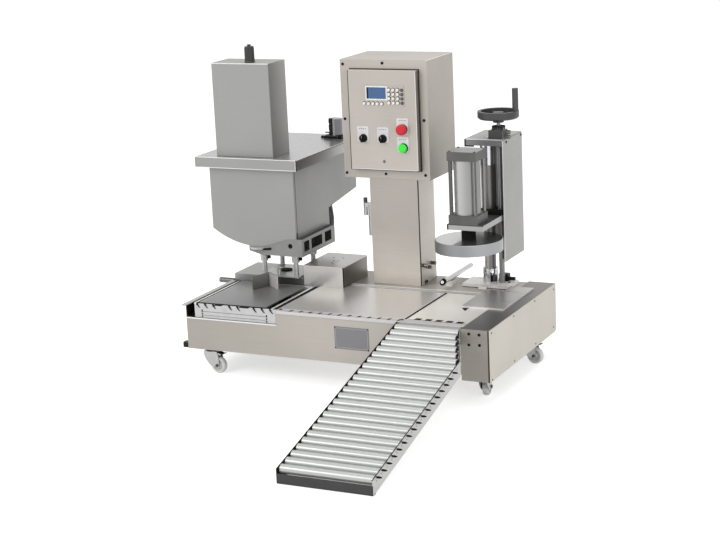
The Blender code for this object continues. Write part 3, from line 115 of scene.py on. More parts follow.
def plateShape(outline, axis, start, end, edge, segments=1):
    # an outline in the plane across one axis, pushed along that axis
    shape = bmesh.new()
    place = "XYZ".index(axis)
    corners = []
    for point in outline:
        corner = list(point)
        corner.insert(place, start)
        corners.append(shape.verts.new(corner))
    push = Vector((0, 0, 0))
    push[place] = end - start
    moved = bmesh.ops.extrude_face_region(shape, geom=[shape.faces.new(corners)])["geom"]
    bmesh.ops.translate(shape, vec=push,
                        verts=[item for item in moved if isinstance(item, bmesh.types.BMVert)])
    bmesh.ops.recalc_face_normals(shape, faces=shape.faces)
    return soften(shape, edge, segments)


def loftShape(rows, edge):
    shape = bmesh.new()
    made = [[shape.verts.new(point) for point in row] for row in rows]
    for near, far in zip(made, made[1:]):
        for k in range(len(near)):
            after = (k + 1) % len(near)
            shape.faces.new((near[k], near[after], far[after], far[k]))
    shape.faces.new(made[0])
    shape.faces.new(made[-1])
    bmesh.ops.recalc_face_normals(shape, faces=shape.faces)
    return soften(shape, edge, 1)


def arcPoints(centre, radius, first, turn, steps):
    x, y = centre
    angles = [math.radians(first + turn * step / steps) for step in range(steps + 1)]
    return [(x + radius * math.cos(angle), y + radius * math.sin(angle)) for angle in angles]


def roundedOutline(low, high, radius, steps=5):
    (x0, y0), (x1, y1) = (low[0] + radius, low[1] + radius), (high[0] - radius, high[1] - radius)
    corners = (((x1, y1), 0), ((x0, y1), 90), ((x0, y0), 180), ((x1, y0), 270))
    return [point for centre, first in corners for point in arcPoints(centre, radius, first, 90, steps)]


def inset(low, high, distance):
    return tuple(value + distance for value in low), tuple(value - distance for value in high)


# Nodes, for materials and for Geometry Nodes
def addNode(tree, kind, values, **settings):
    # values that are sockets are linked, all others are written
    node = tree.nodes.new(kind)
    for key, setting in settings.items():
        setattr(node, key, setting)
    for label, value in values.items():
        if isinstance(value, bpy.types.NodeSocket):
            tree.links.new(value, node.inputs[label])
        else:
            node.inputs[label].default_value = value
    return node.outputs


def mathNode(tree, operation, first, second):
    return addNode(tree, "ShaderNodeMath", {0: first, 1: second}, operation=operation)[0]


def objectPoint(tree, stretch=(1, 1, 1)):
    place = tree.nodes.new("ShaderNodeTexCoord").outputs["Object"]
    return addNode(tree, "ShaderNodeMapping", {"Scale": stretch, "Vector": place})["Vector"]


def noiseOf(tree, scale, detail=2.0, roughness=0.5, stretch=(1, 1, 1)):
    return addNode(tree, "ShaderNodeTexNoise", {"Scale": scale, "Detail": detail, "Roughness": roughness,
                                                "Vector": objectPoint(tree, stretch)})["Fac"]


def cellsOf(tree, scale):
    return addNode(tree, "ShaderNodeTexVoronoi", {"Scale": scale, "Vector": objectPoint(tree)})


def spread(tree, value, low, high, fromLow=0.3, fromHigh=0.7):
    return addNode(tree, "ShaderNodeMapRange", {"From Min": fromLow, "From Max": fromHigh, "To Min": low,
                                                "To Max": high, "Value": value})["Result"]


def blend(tree, first, second, share, **settings):
    return addNode(tree, "ShaderNodeMix", {"Factor": share, "A": first, "B": second}, **settings)["Result"]


def toned(colour, factor):
    return tuple(min(1.0, channel * factor) for channel in colour) + (1.0,)


def fadeAlong(tree, colour, axis, start, end, first, last):
    # the tone changes evenly along one axis of the machine
    split = addNode(tree, "ShaderNodeSeparateXYZ", {"Vector": objectPoint(tree)})
    offset = machineOrigin["XYZ".index(axis)]
    level = spread(tree, split[axis], first, last, start + offset, end + offset)
    return blend(tree, colour, level, 1.0, data_type="RGBA", blend_type="MULTIPLY")


def startFinish(name):
    made = bpy.data.materials.new(name)
    made.use_nodes = True
    return made, made.node_tree, made.node_tree.nodes["Principled BSDF"].inputs


def layFinish(tree, shader, colour, tone, tones, wear, roughs, relief, metallic=0.0, fade=None):
    # tone moves the colour, wear moves the roughness, and relief is a height with its strength and depth
    tint = blend(tree, toned(colour, tones[0]), toned(colour, tones[1]), tone, data_type="RGBA")
    if fade:
        tint = fadeAlong(tree, tint, *fade)
    height, strength, depth = relief
    bump = addNode(tree, "ShaderNodeBump", {"Strength": strength, "Distance": depth, "Height": height})
    tree.links.new(tint, shader["Base Color"])
    tree.links.new(spread(tree, wear, *roughs), shader["Roughness"])
    tree.links.new(bump["Normal"], shader["Normal"])
    shader["Metallic"].default_value = metallic


def brushedSheet(name, colour, roughness, metallic, fade=None, streaks=0.05, clouds=0.04):
    # fine lines run along the sheet; on faces that look to the side they run front to back
    made, tree, shader = startFinish(name)
    normal = tree.nodes.new("ShaderNodeTexCoord").outputs["Normal"]
    facing = addNode(tree, "ShaderNodeSeparateXYZ", {"Vector": normal})["X"]
    sideways = mathNode(tree, "GREATER_THAN", mathNode(tree, "MULTIPLY", facing, facing), 0.5)
    place = addNode(tree, "ShaderNodeMix", {"Factor": sideways, 4: objectPoint(tree, (5, 650, 650)),
                                            5: objectPoint(tree, (650, 5, 650))}, data_type="VECTOR")[1]
    lines = addNode(tree, "ShaderNodeTexNoise", {"Scale": 1.0, "Detail": 3.0, "Roughness": 0.6,
                                                 "Vector": place})["Fac"]
    smudges = noiseOf(tree, 14.0, 4.0, 0.65, (1, 1, 0.5))
    depth = streaks + clouds
    tone = blend(tree, lines, noiseOf(tree, 2.6), clouds / depth)
    layFinish(tree, shader, colour, spread(tree, tone, 0, 1), (1 - depth, 1 + depth),
              blend(tree, lines, smudges, 0.55), (roughness * 0.9, roughness * 1.12), (lines, 0.2, 0.00003),
              metallic, fade)
    return made


def coatedMetal(name, colour, roughness, metallic=0.1):
    made, tree, shader = startFinish(name)
    broad = noiseOf(tree, 7.0, 5.0, 0.7)
    layFinish(tree, shader, colour, spread(tree, broad, 0, 1), (0.86, 1.16), broad,
              (roughness + 0.08, roughness - 0.06), (noiseOf(tree, 420.0), 0.35, 0.00012), metallic)
    return made


def castMetal(name, colour, roughness=0.52, metallic=0.55):
    made, tree, shader = startFinish(name)
    grain = noiseOf(tree, 900.0, 3.0, 0.7)
    pitted = blend(tree, grain, cellsOf(tree, 260.0)["Distance"], 0.4)
    layFinish(tree, shader, colour, spread(tree, noiseOf(tree, 11.0, 4.0, 0.6), 0, 1), (0.88, 1.12), grain,
              (roughness - 0.08, roughness + 0.12), (pitted, 0.4, 0.00025), metallic)
    return made


def polishedMetal(name, colour, roughness, metallic=1.0, ringScale=(6, 6, 900)):
    # turned bars carry faint rings round their length
    made, tree, shader = startFinish(name)
    smudges = noiseOf(tree, 38.0, 4.0, 0.7)
    layFinish(tree, shader, colour, spread(tree, smudges, 0, 1), (0.93, 1.05), smudges,
              (roughness - 0.03, roughness + 0.07), (noiseOf(tree, 1.0, stretch=ringScale), 0.15, 0.00003),
              metallic)
    return made


def mouldedPlastic(name, colour, roughness, gloss=0.4, coat=0.0, grain=1100.0):
    made, tree, shader = startFinish(name)
    broad = noiseOf(tree, 24.0, 4.0, 0.65)
    layFinish(tree, shader, colour, spread(tree, broad, 0, 1), (0.91, 1.08), broad,
              (roughness - 0.06, roughness + 0.08), (noiseOf(tree, grain), 0.22, 0.00005))
    shader["Specular IOR Level"].default_value = gloss
    if coat:
        shader["Coat Weight"].default_value = coat
        shader["Coat Roughness"].default_value = 0.12
    return made


def galvanisedTube(name, colour, roughness, metallic):
    # zinc flakes under drawing marks that run round the tube
    made, tree, shader = startFinish(name)
    rings = noiseOf(tree, 1.0, 3.0, 0.6, (520, 9, 9))
    flakes = addNode(tree, "ShaderNodeSeparateColor", {"Color": cellsOf(tree, 130.0)["Color"]})[0]
    tone = blend(tree, rings, flakes, 0.35)
    layFinish(tree, shader, colour, spread(tree, tone, 0, 1, 0.25, 0.75), (0.985, 1.012), tone,
              (roughness - 0.02, roughness + 0.03), (rings, 0.08, 0.00002), metallic)
    return made


def screenGlass(name, colour):
    # a fine grid of cells behind a glossy window
    made, tree, shader = startFinish(name)
    upright = addNode(tree, "ShaderNodeMapping", {
        "Rotation": (math.radians(90), 0, 0), "Scale": (900, 900, 900), "Vector": objectPoint(tree)})
    cells = addNode(tree, "ShaderNodeTexBrick", {
        "Scale": 1.0, "Mortar Size": 0.06, "Brick Width": 0.5, "Row Height": 0.5,
        "Vector": upright["Vector"],
        "Color1": toned(colour, 1), "Color2": toned(colour, 1.08), "Mortar": toned(colour, 0.72)}, offset=0.0)
    tree.links.new(cells["Color"], shader["Base Color"])
    tree.links.new(spread(tree, noiseOf(tree, 60.0), 0.1, 0.2), shader["Roughness"])
    shader["Coat Weight"].default_value = 0.5
    return made


# Each row: colour, roughness, and what else the finish takes
finishTable = (
    (brushedSheet, {
        "beigeSheet": ((0.465, 0.432, 0.39), 0.46, 0.45),
        "tableFront": ((0.462, 0.431, 0.388), 0.46, 0.45, ("X", 0.0, 0.72, 0.8, 1.0)),
        # the column's right side: a much lighter copy of the beige sheet, darker towards the bottom: painted
        # light and shade
        "columnSide": ((0.82, 0.77, 0.695), 0.44, 0.35, ("Z", 0.24, 0.62, 0.75, 1.0)),
        # the column's front: lighter towards its lowest part: a painted reflection
        "columnFront": ((0.438, 0.408, 0.372), 0.44, 0.45, ("Z", 0.24, 0.5, 1.45, 1.0)),
        "doorSheet": ((0.475, 0.443, 0.402), 0.44, 0.45, ("Z", 0.79, 1.0, 1.1, 1.0)),
        # the tower's right side: a darker copy of the grey sheet, lighter towards the back: painted shade
        "towerSide": ((0.32, 0.315, 0.3), 0.42, 0.5, ("Y", 0.4, 0.55, 0.62, 1.15)),
        # the door's right side face, darker than its front: painted shade; the door lock also takes this
        # colour
        "doorSide": ((0.27, 0.245, 0.22), 0.45, 0.5),
        "blockSheet": ((0.345, 0.322, 0.29), 0.42, 0.55),
        # the end block's top: dark, lighter towards the back: a painted reflection
        "blockTop": ((0.12, 0.114, 0.105), 0.36, 0.6, ("Y", 0.0, 0.8, 0.6, 1.6)),
        # the bridge plate: darker towards its left end: painted shade
        "bridgeSheet": ((0.44, 0.425, 0.4), 0.3, 0.75, ("X", 1.3, 1.47, 0.62, 1.1)),
        "sideSheet": ((0.545, 0.51, 0.455), 0.42, 0.45),
        "plateSheet": ((0.68, 0.66, 0.635), 0.3, 0.7, ("X", 0.55, 1.1, 0.94, 1.06), 0.03, 0.02),
        # the outfeed plate: lighter at its left, darker towards the bridge: painted reflection and shade
        "outfeedSheet": ((0.84, 0.815, 0.76), 0.4, 0.45, ("X", 1.17, 1.42, 1.1, 0.74), 0.03, 0.02),
        "rearSheet": ((0.335, 0.32, 0.29), 0.38, 0.5, None, 0.03, 0.03),
        # pale sheet, also laid as painted highlights along lit edges and top faces
        "railSheet": ((0.8, 0.79, 0.775), 0.34, 0.4),
        "bandSheet": ((0.58, 0.565, 0.56), 0.38, 0.4),
        "greySheet": ((0.325, 0.325, 0.32), 0.46, 0.5, None, 0.035, 0.025),
        # the housing's right side: its own copy of the grey sheet, lighter towards the back: painted shading
        "housingSide": ((0.425, 0.422, 0.405), 0.44, 0.5, ("Y", 0.4, 0.8, 0.92, 1.12)),
        "lidTop": ((0.43, 0.43, 0.43), 0.28, 0.75, None, 0.03, 0.03),
        # the lid's right side: dark at the front, lighter towards the back: painted shade
        "lidSide": ((0.36, 0.36, 0.355), 0.36, 0.6, ("Y", 0.4, 0.95, 0.3, 1.5)),
        "weighSheet": ((0.275, 0.275, 0.275), 0.38, 0.6, ("Y", 0.05, 0.42, 0.86, 1.1), 0.03, 0.03),
        "stopSheet": ((0.15, 0.145, 0.13), 0.4, 0.6, ("Z", 0.23, 0.29, 0.8, 1.5)),
        "plateGrey": ((0.205, 0.205, 0.215), 0.42, 0.5),
        "rightRail": ((0.5, 0.495, 0.485), 0.42, 0.4),
        "coverSheet": ((0.385, 0.382, 0.368), 0.46, 0.5),
        "boxSheet": ((0.5, 0.485, 0.46), 0.3, 0.75, None, 0.03, 0.02),
        "boxFront": ((0.56, 0.545, 0.52), 0.3, 0.6, ("Z", 0.225, 0.3, 0.8, 1.1)),
        # the junction box's right side: dark, lighter towards the back: painted shade
        "boxSide": ((0.155, 0.142, 0.125), 0.34, 0.7, ("Y", 0.47, 0.72, 0.8, 1.6)),
        "deckSheet": ((0.36, 0.357, 0.35), 0.34, 0.7, None, 0.03, 0.03),
        # the rear deck's front face: dark, lighter towards its left end: painted shadow
        "deckFront": ((0.1, 0.1, 0.098), 0.36, 0.6, ("X", 0.02, 0.25, 3.0, 0.8)),
        "carriageSheet": ((0.37, 0.37, 0.365), 0.36, 0.6),
        # the guide sleeve: darkens across to its right side: painted shade
        "guideSteel": ((0.42, 0.41, 0.405), 0.32, 0.6, ("X", 1.25, 1.288, 1.2, 0.3), 0.03, 0.02),
        # the barrel: lighter at its left and darker to its right: painted shading
        "barrelSteel": ((0.47, 0.468, 0.46), 0.34, 0.5, ("X", 1.225, 1.3, 1.15, 0.62), 0.03, 0.02),
        # the disc's rim: darker at the left, lighter to the right end: painted shade and highlight
        "discSteel": ((0.3, 0.305, 0.31), 0.36, 0.5, ("X", 1.1, 1.38, 0.55, 1.25), 0.03, 0.02),
        # the disc's top turns dark beyond its middle: a painted reflection of the hub and carriage
        "discTop": ((0.56, 0.56, 0.555), 0.24, 0.8, ("X", 1.232, 1.246, 1.0, 0.3), 0.03, 0.02)}),
    (castMetal, {
        "castGrey": ((0.17, 0.17, 0.168),), "frameGrey": ((0.27, 0.27, 0.268), 0.46, 0.5),
        "capMetal": ((0.105, 0.105, 0.103), 0.42, 0.5), "capTop": ((0.3, 0.3, 0.3), 0.36, 0.6),
        "castDark": ((0.065, 0.065, 0.065),)}),
    (coatedMetal, {
        "darkPaint": ((0.055, 0.055, 0.056), 0.4), "charcoal": ((0.032, 0.032, 0.032), 0.4, 0.2)}),
    (polishedMetal, {
        "chrome": ((0.55, 0.56, 0.59), 0.1), "steel": ((0.4, 0.4, 0.4), 0.24),
        "brightSteel": ((0.8, 0.8, 0.79), 0.25, 0.5, (900, 6, 6)),
        "crossSteel": ((0.14, 0.14, 0.145), 0.22, 0.8, (900, 6, 6)),
        "screwSteel": ((0.25, 0.25, 0.255), 0.3, 0.6),
        "pusherSteel": ((0.7, 0.7, 0.69), 0.22, 0.5, (300, 4, 300)),
        "postSteel": ((0.5, 0.5, 0.495), 0.28, 0.5), "bronze": ((0.15, 0.13, 0.11), 0.24, 0.8)}),
    (galvanisedTube, {"tube": ((0.5, 0.51, 0.495), 0.3, 0.4)}),
    (mouldedPlastic, {
        # pale nylon, also laid on the handwheel's steel shaft as a painted bright reflection
        "nylon": ((0.76, 0.76, 0.74), 0.4), "ivory": ((0.9, 0.89, 0.845), 0.35, 0.4, 0.2),
        "white": ((0.62, 0.62, 0.625), 0.45), "label": ((0.78, 0.77, 0.78), 0.45),
        "lavender": ((0.4, 0.4, 0.46), 0.35), "black": ((0.006, 0.006, 0.006), 0.45, 0.22),
        # black rubber, also laid as painted shadow in gaps, slots and recesses
        "rubber": ((0.008, 0.0075, 0.007), 0.75, 0.15, 0.0, 700.0),
        # dark brown seal, also laid as painted shade lines along the door's left and bottom edges
        "brownSeal": ((0.045, 0.036, 0.03), 0.6, 0.2), "red": ((0.66, 0.01, 0.02), 0.36, 0.4, 0.15),
        "green": ((0.03, 0.9, 0.045), 0.36, 0.4, 0.15), "navy": ((0.006, 0.012, 0.045), 0.3, 0.2)}),
    (screenGlass, {"screen": ((0.03, 0.115, 0.3),)}),
)
finishes = {name: make(name, *values) for make, rows in finishTable for name, values in rows.items()}
print("finishes ready:", len(finishes))


# Pieces
def makePiece(name, parts, body, replaced=(), degrees=35):
    # a part is a shape with the name of its finish, or a mesh that carries its own materials
    joined = bmesh.new()
    looks = []
    for shape, finish in parts:
        mesh = shape
        if finish:
            mesh = bpy.data.meshes.new("part")
            shape.to_mesh(mesh)
            shape.free()
        own = [finishes[finish]] if finish else list(mesh.materials)
        start = len(joined.faces)
        joined.from_mesh(mesh)
        joined.faces.ensure_lookup_table()
        for face in joined.faces[start:]:
            look = own[min(face.material_index, len(own) - 1)]
            if look not in looks:
                looks.append(look)
            face.material_index = looks.index(look)
        bpy.data.meshes.remove(mesh)
    joined.transform(Matrix.Translation(machineOrigin))
    showPiece(name, joined, looks, body, replaced, degrees)


def showPiece(name, shape, looks, body, replaced, degrees):
    # broad faces keep their own normals, and the small bevels beside them bend
    mesh = bpy.data.meshes.new(name)
    shape.to_mesh(mesh)
    shape.free()
    for look in looks:
        mesh.materials.append(look)
    mesh.shade_smooth()
    mesh.set_sharp_from_angle(angle=math.radians(degrees))
    piece = bpy.data.objects.new(name, mesh)
    bpy.context.scene.collection.objects.link(piece)
    change = piece.modifiers.new("weighted", "WEIGHTED_NORMAL")
    change.keep_sharp = True
    change.weight = 100
    weighted = bpy.data.meshes.new_from_object(piece.evaluated_get(bpy.context.evaluated_depsgraph_get()))
    piece.modifiers.remove(change)
    piece.data = weighted
    bpy.data.meshes.remove(mesh)
    weighted.name = name
    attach(piece, body)
    if replaced:
        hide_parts(*replaced)


mergeWithin, flatWithin = 1e-6, math.radians(0.4)


def dressNode(node, name, body, finish, edge, regions):
    # a copy of a CAD node whose fittings, inside given boxes, get finishes of their own
    shape = bmesh.new()
    shape.from_mesh(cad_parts[node].data)
    bmesh.ops.remove_doubles(shape, verts=shape.verts, dist=mergeWithin)
    for face in shape.faces:
        centre = face.calc_center_median() - machineOrigin
        inside = [count + 1 for count, (low, high, _) in enumerate(regions)
                  if all(a <= c <= b for a, c, b in zip(low, centre, high))]
        face.material_index = inside[0] if inside else 0
    bmesh.ops.dissolve_limit(shape, angle_limit=flatWithin, verts=shape.verts[:], edges=shape.edges[:],
                             delimit={"MATERIAL"})
    looks = [finishes[finish]] + [finishes[other] for _, _, other in regions]
    showPiece(name, soften(shape, edge), looks, body, (node,), 30)


# Geometry Nodes: one tree for studs, one for rollers, one for repeated items
def startTree(name, inputs):
    tree = bpy.data.node_groups.new(name, "GeometryNodeTree")
    tree.interface.new_socket("Geometry", in_out="INPUT", socket_type="NodeSocketGeometry")
    for label, kind, value in inputs:
        socket = tree.interface.new_socket(label, in_out="INPUT", socket_type="NodeSocket" + kind)
        if value is not None:
            socket.default_value = value
    tree.interface.new_socket("Geometry", in_out="OUTPUT", socket_type="NodeSocketGeometry")
    return tree, tree.nodes.new("NodeGroupInput").outputs


def stepFaces(tree, mesh, selection, push, scale):
    # pushes the chosen faces out and resizes them; gives the mesh, those faces and their new walls
    step = addNode(tree, "GeometryNodeExtrudeMesh", {
        "Mesh": mesh, "Selection": selection, "Offset Scale": push})
    resized = addNode(tree, "GeometryNodeScaleElements", {
        "Geometry": step["Mesh"], "Selection": step["Top"], "Scale": scale})
    return resized["Geometry"], step["Top"], step["Side"]


def markFaces(tree, mesh, label, *selections):
    for selection in selections:
        mesh = addNode(tree, "GeometryNodeStoreNamedAttribute", {
            "Name": label, "Geometry": mesh, "Selection": selection, "Value": True},
            data_type="BOOLEAN", domain="FACE")["Geometry"]
    return mesh


def liftMesh(tree, mesh, height):
    offset = addNode(tree, "ShaderNodeCombineXYZ", {"Z": height})["Vector"]
    return addNode(tree, "GeometryNodeTransform", {"Translation": offset, "Geometry": mesh})["Geometry"]


def finishTree(tree, given, item, looks):
    # one item on every point, turned to the direction; looks are materials, each with its marked faces
    turn = addNode(tree, "FunctionNodeAlignRotationToVector", {"Vector": given["Direction"]}, axis="Z")
    spots = addNode(tree, "GeometryNodeInstanceOnPoints", {"Points": given["Geometry"], "Instance": item,
                                                           "Rotation": turn["Rotation"]})
    mesh = addNode(tree, "GeometryNodeRealizeInstances", {"Geometry": spots["Instances"]})["Geometry"]
    for look, label in looks:
        values = {"Geometry": mesh, "Material": given[look]}
        if label:
            values["Selection"] = addNode(tree, "GeometryNodeInputNamedAttribute", {"Name": label},
                                          data_type="BOOLEAN")["Attribute"]
        mesh = addNode(tree, "GeometryNodeSetMaterial", values)["Geometry"]
    tree.links.new(mesh, tree.nodes.new("NodeGroupOutput").inputs["Geometry"])
    return tree


def buildStudTree():
    # round head with a chamfer and a sunk middle: screws, bolts, keys and caps
    tree, given = startTree("studs", (
        ("Sides", "Int", 20), ("Radius", "Float", 0.005), ("Height", "Float", 0.003),
        ("Socket Share", "Float", 0.5), ("Socket Depth", "Float", 0.0015), ("Direction", "Vector", up),
        ("Head", "Material", None), ("Hollow", "Material", None)))
    lowPart = mathNode(tree, "MULTIPLY", given["Height"], 0.75)
    chamfer = mathNode(tree, "MULTIPLY", given["Height"], 0.25)
    sink = mathNode(tree, "MULTIPLY", given["Socket Depth"], -1.0)
    barrel = addNode(tree, "GeometryNodeMeshCylinder", {
        "Vertices": given["Sides"], "Radius": given["Radius"], "Depth": lowPart})
    mesh, top, _ = stepFaces(tree, barrel["Mesh"], barrel["Top"], chamfer, 0.86)
    mesh, top, _ = stepFaces(tree, mesh, top, 0.0, given["Socket Share"])
    mesh, top, side = stepFaces(tree, mesh, top, sink, 0.92)
    mesh = markFaces(tree, mesh, "hollow", top, side)
    mesh = liftMesh(tree, mesh, mathNode(tree, "MULTIPLY", lowPart, 0.5))
    return finishTree(tree, given, mesh, (("Head", None), ("Hollow", "hollow")))


def buildRollerTree():
    # a tube with a rolled rim, a sunk bearing cap and an axle stub at each end
    tree, given = startTree("rollers", (
        ("Length", "Float", 0.4), ("Radius", "Float", 0.02), ("Stub", "Float", 0.006),
        ("Direction", "Vector", right), ("Tube", "Material", None), ("Bearing", "Material", None),
        ("Axle", "Material", None)))
    depth = mathNode(tree, "SUBTRACT", given["Length"], 0.003)
    barrel = addNode(tree, "GeometryNodeMeshCylinder", {
        "Vertices": 36, "Radius": given["Radius"], "Depth": depth})
    ends = addNode(tree, "FunctionNodeBooleanMath", {0: barrel["Top"], 1: barrel["Bottom"]},
                   operation="OR")[0]
    mesh, top, _ = stepFaces(tree, barrel["Mesh"], ends, 0.0015, 0.93)
    mesh, top, _ = stepFaces(tree, mesh, top, 0.0, 0.86)
    mesh, top, side = stepFaces(tree, mesh, top, -0.003, 0.96)
    mesh, top, _ = stepFaces(tree, markFaces(tree, mesh, "bearing", top, side), top, 0.0, 0.3)
    mesh, top, side = stepFaces(tree, mesh, top, given["Stub"], 0.9)
    mesh = markFaces(tree, mesh, "axle", top, side)
    mesh = liftMesh(tree, mesh, mathNode(tree, "MULTIPLY", given["Length"], 0.5))
    return finishTree(tree, given, mesh, (("Tube", None), ("Bearing", "bearing"), ("Axle", "axle")))


def buildRowTree():
    # copies of one item at every point
    tree, given = startTree("rows", (("Item", "Object", None), ("Direction", "Vector", up),
                                     ("Finish", "Material", None)))
    item = addNode(tree, "GeometryNodeObjectInfo", {"Object": given["Item"]})
    return finishTree(tree, given, item["Geometry"], (("Finish", None),))


studTree, rollerTree, rowTree = buildStudTree(), buildRollerTree(), buildRowTree()


def growMesh(tree, points, values):
    mesh = bpy.data.meshes.new("seed")
    mesh.from_pydata([tuple(point) for point in points], [], [])
    seed = bpy.data.objects.new("seed", mesh)
    bpy.context.scene.collection.objects.link(seed)
    change = seed.modifiers.new("grow", "NODES")
    change.node_group = tree
    for socket in tree.interface.items_tree:
        if socket.item_type == "SOCKET" and socket.in_out == "INPUT" and socket.name in values:
            change[socket.identifier] = values[socket.name]
    grown = bpy.data.meshes.new_from_object(seed.evaluated_get(bpy.context.evaluated_depsgraph_get()))
    seed.modifiers.remove(change)
    bpy.data.objects.remove(seed)
    return grown


# Parts for the pieces, each a mesh or a shape with the name of its finish
def studs(points, radius, height, direction, head="black", hollow="rubber", share=0.5, depth=None,
          sides=20):
    return growMesh(studTree, points, {
        "Sides": sides, "Radius": radius, "Height": height, "Socket Share": share,
        "Socket Depth": depth or height * 0.5, "Direction": direction, "Head": finishes[head],
        "Hollow": finishes[hollow]}), None


def repeated(shape, points, finish, direction=up):
    mesh = bpy.data.meshes.new("item")
    shape.to_mesh(mesh)
    shape.free()
    item = bpy.data.objects.new("item", mesh)
    bpy.context.scene.collection.objects.link(item)
    grown = growMesh(rowTree, points, {"Item": item, "Direction": direction, "Finish": finishes[finish]})
    bpy.data.objects.remove(item)
    return grown, None


# black slanted marks: painted shadow in slots
def slantedMarks(points, outer, inner, depth):
    outline = ((-outer, -depth), (inner, -depth), (outer, depth), (-inner, depth))
    return repeated(plateShape(outline, "Z", 0, 0.0008, 0.0002), points, "rubber")


def tableParts(table):
    # each row makes one part: its finish comes first, then what the shape's function takes
    makers = (("boxes", boxShape), ("plates", plateShape), ("turned", turnedShape), ("rods", rodShape))
    parts = [(make(*values), finish) for key, make in makers for finish, *values in table.get(key, ())]
    parts += [slantedMarks(*values) for values in table.get("marks", ())]
    return parts + [studs(*values) for values in table.get("studs", ())]


def rimParts(low, high, width, near, far, edge, finish, shorter=0.0):
    # four bars round a rectangle that faces the front
    (x0, z0), (x1, z1) = low, high
    bars = ((x0, z0, x1, z0 + width), (x0, z1 - width, x1, z1),
            (x0, z0 + shorter, x0 + width, z1 - shorter), (x1 - width, z0 + shorter, x1, z1 - shorter))
    return [(boxShape((a, near, b), (c, far, d), edge), finish) for a, b, c, d in bars]


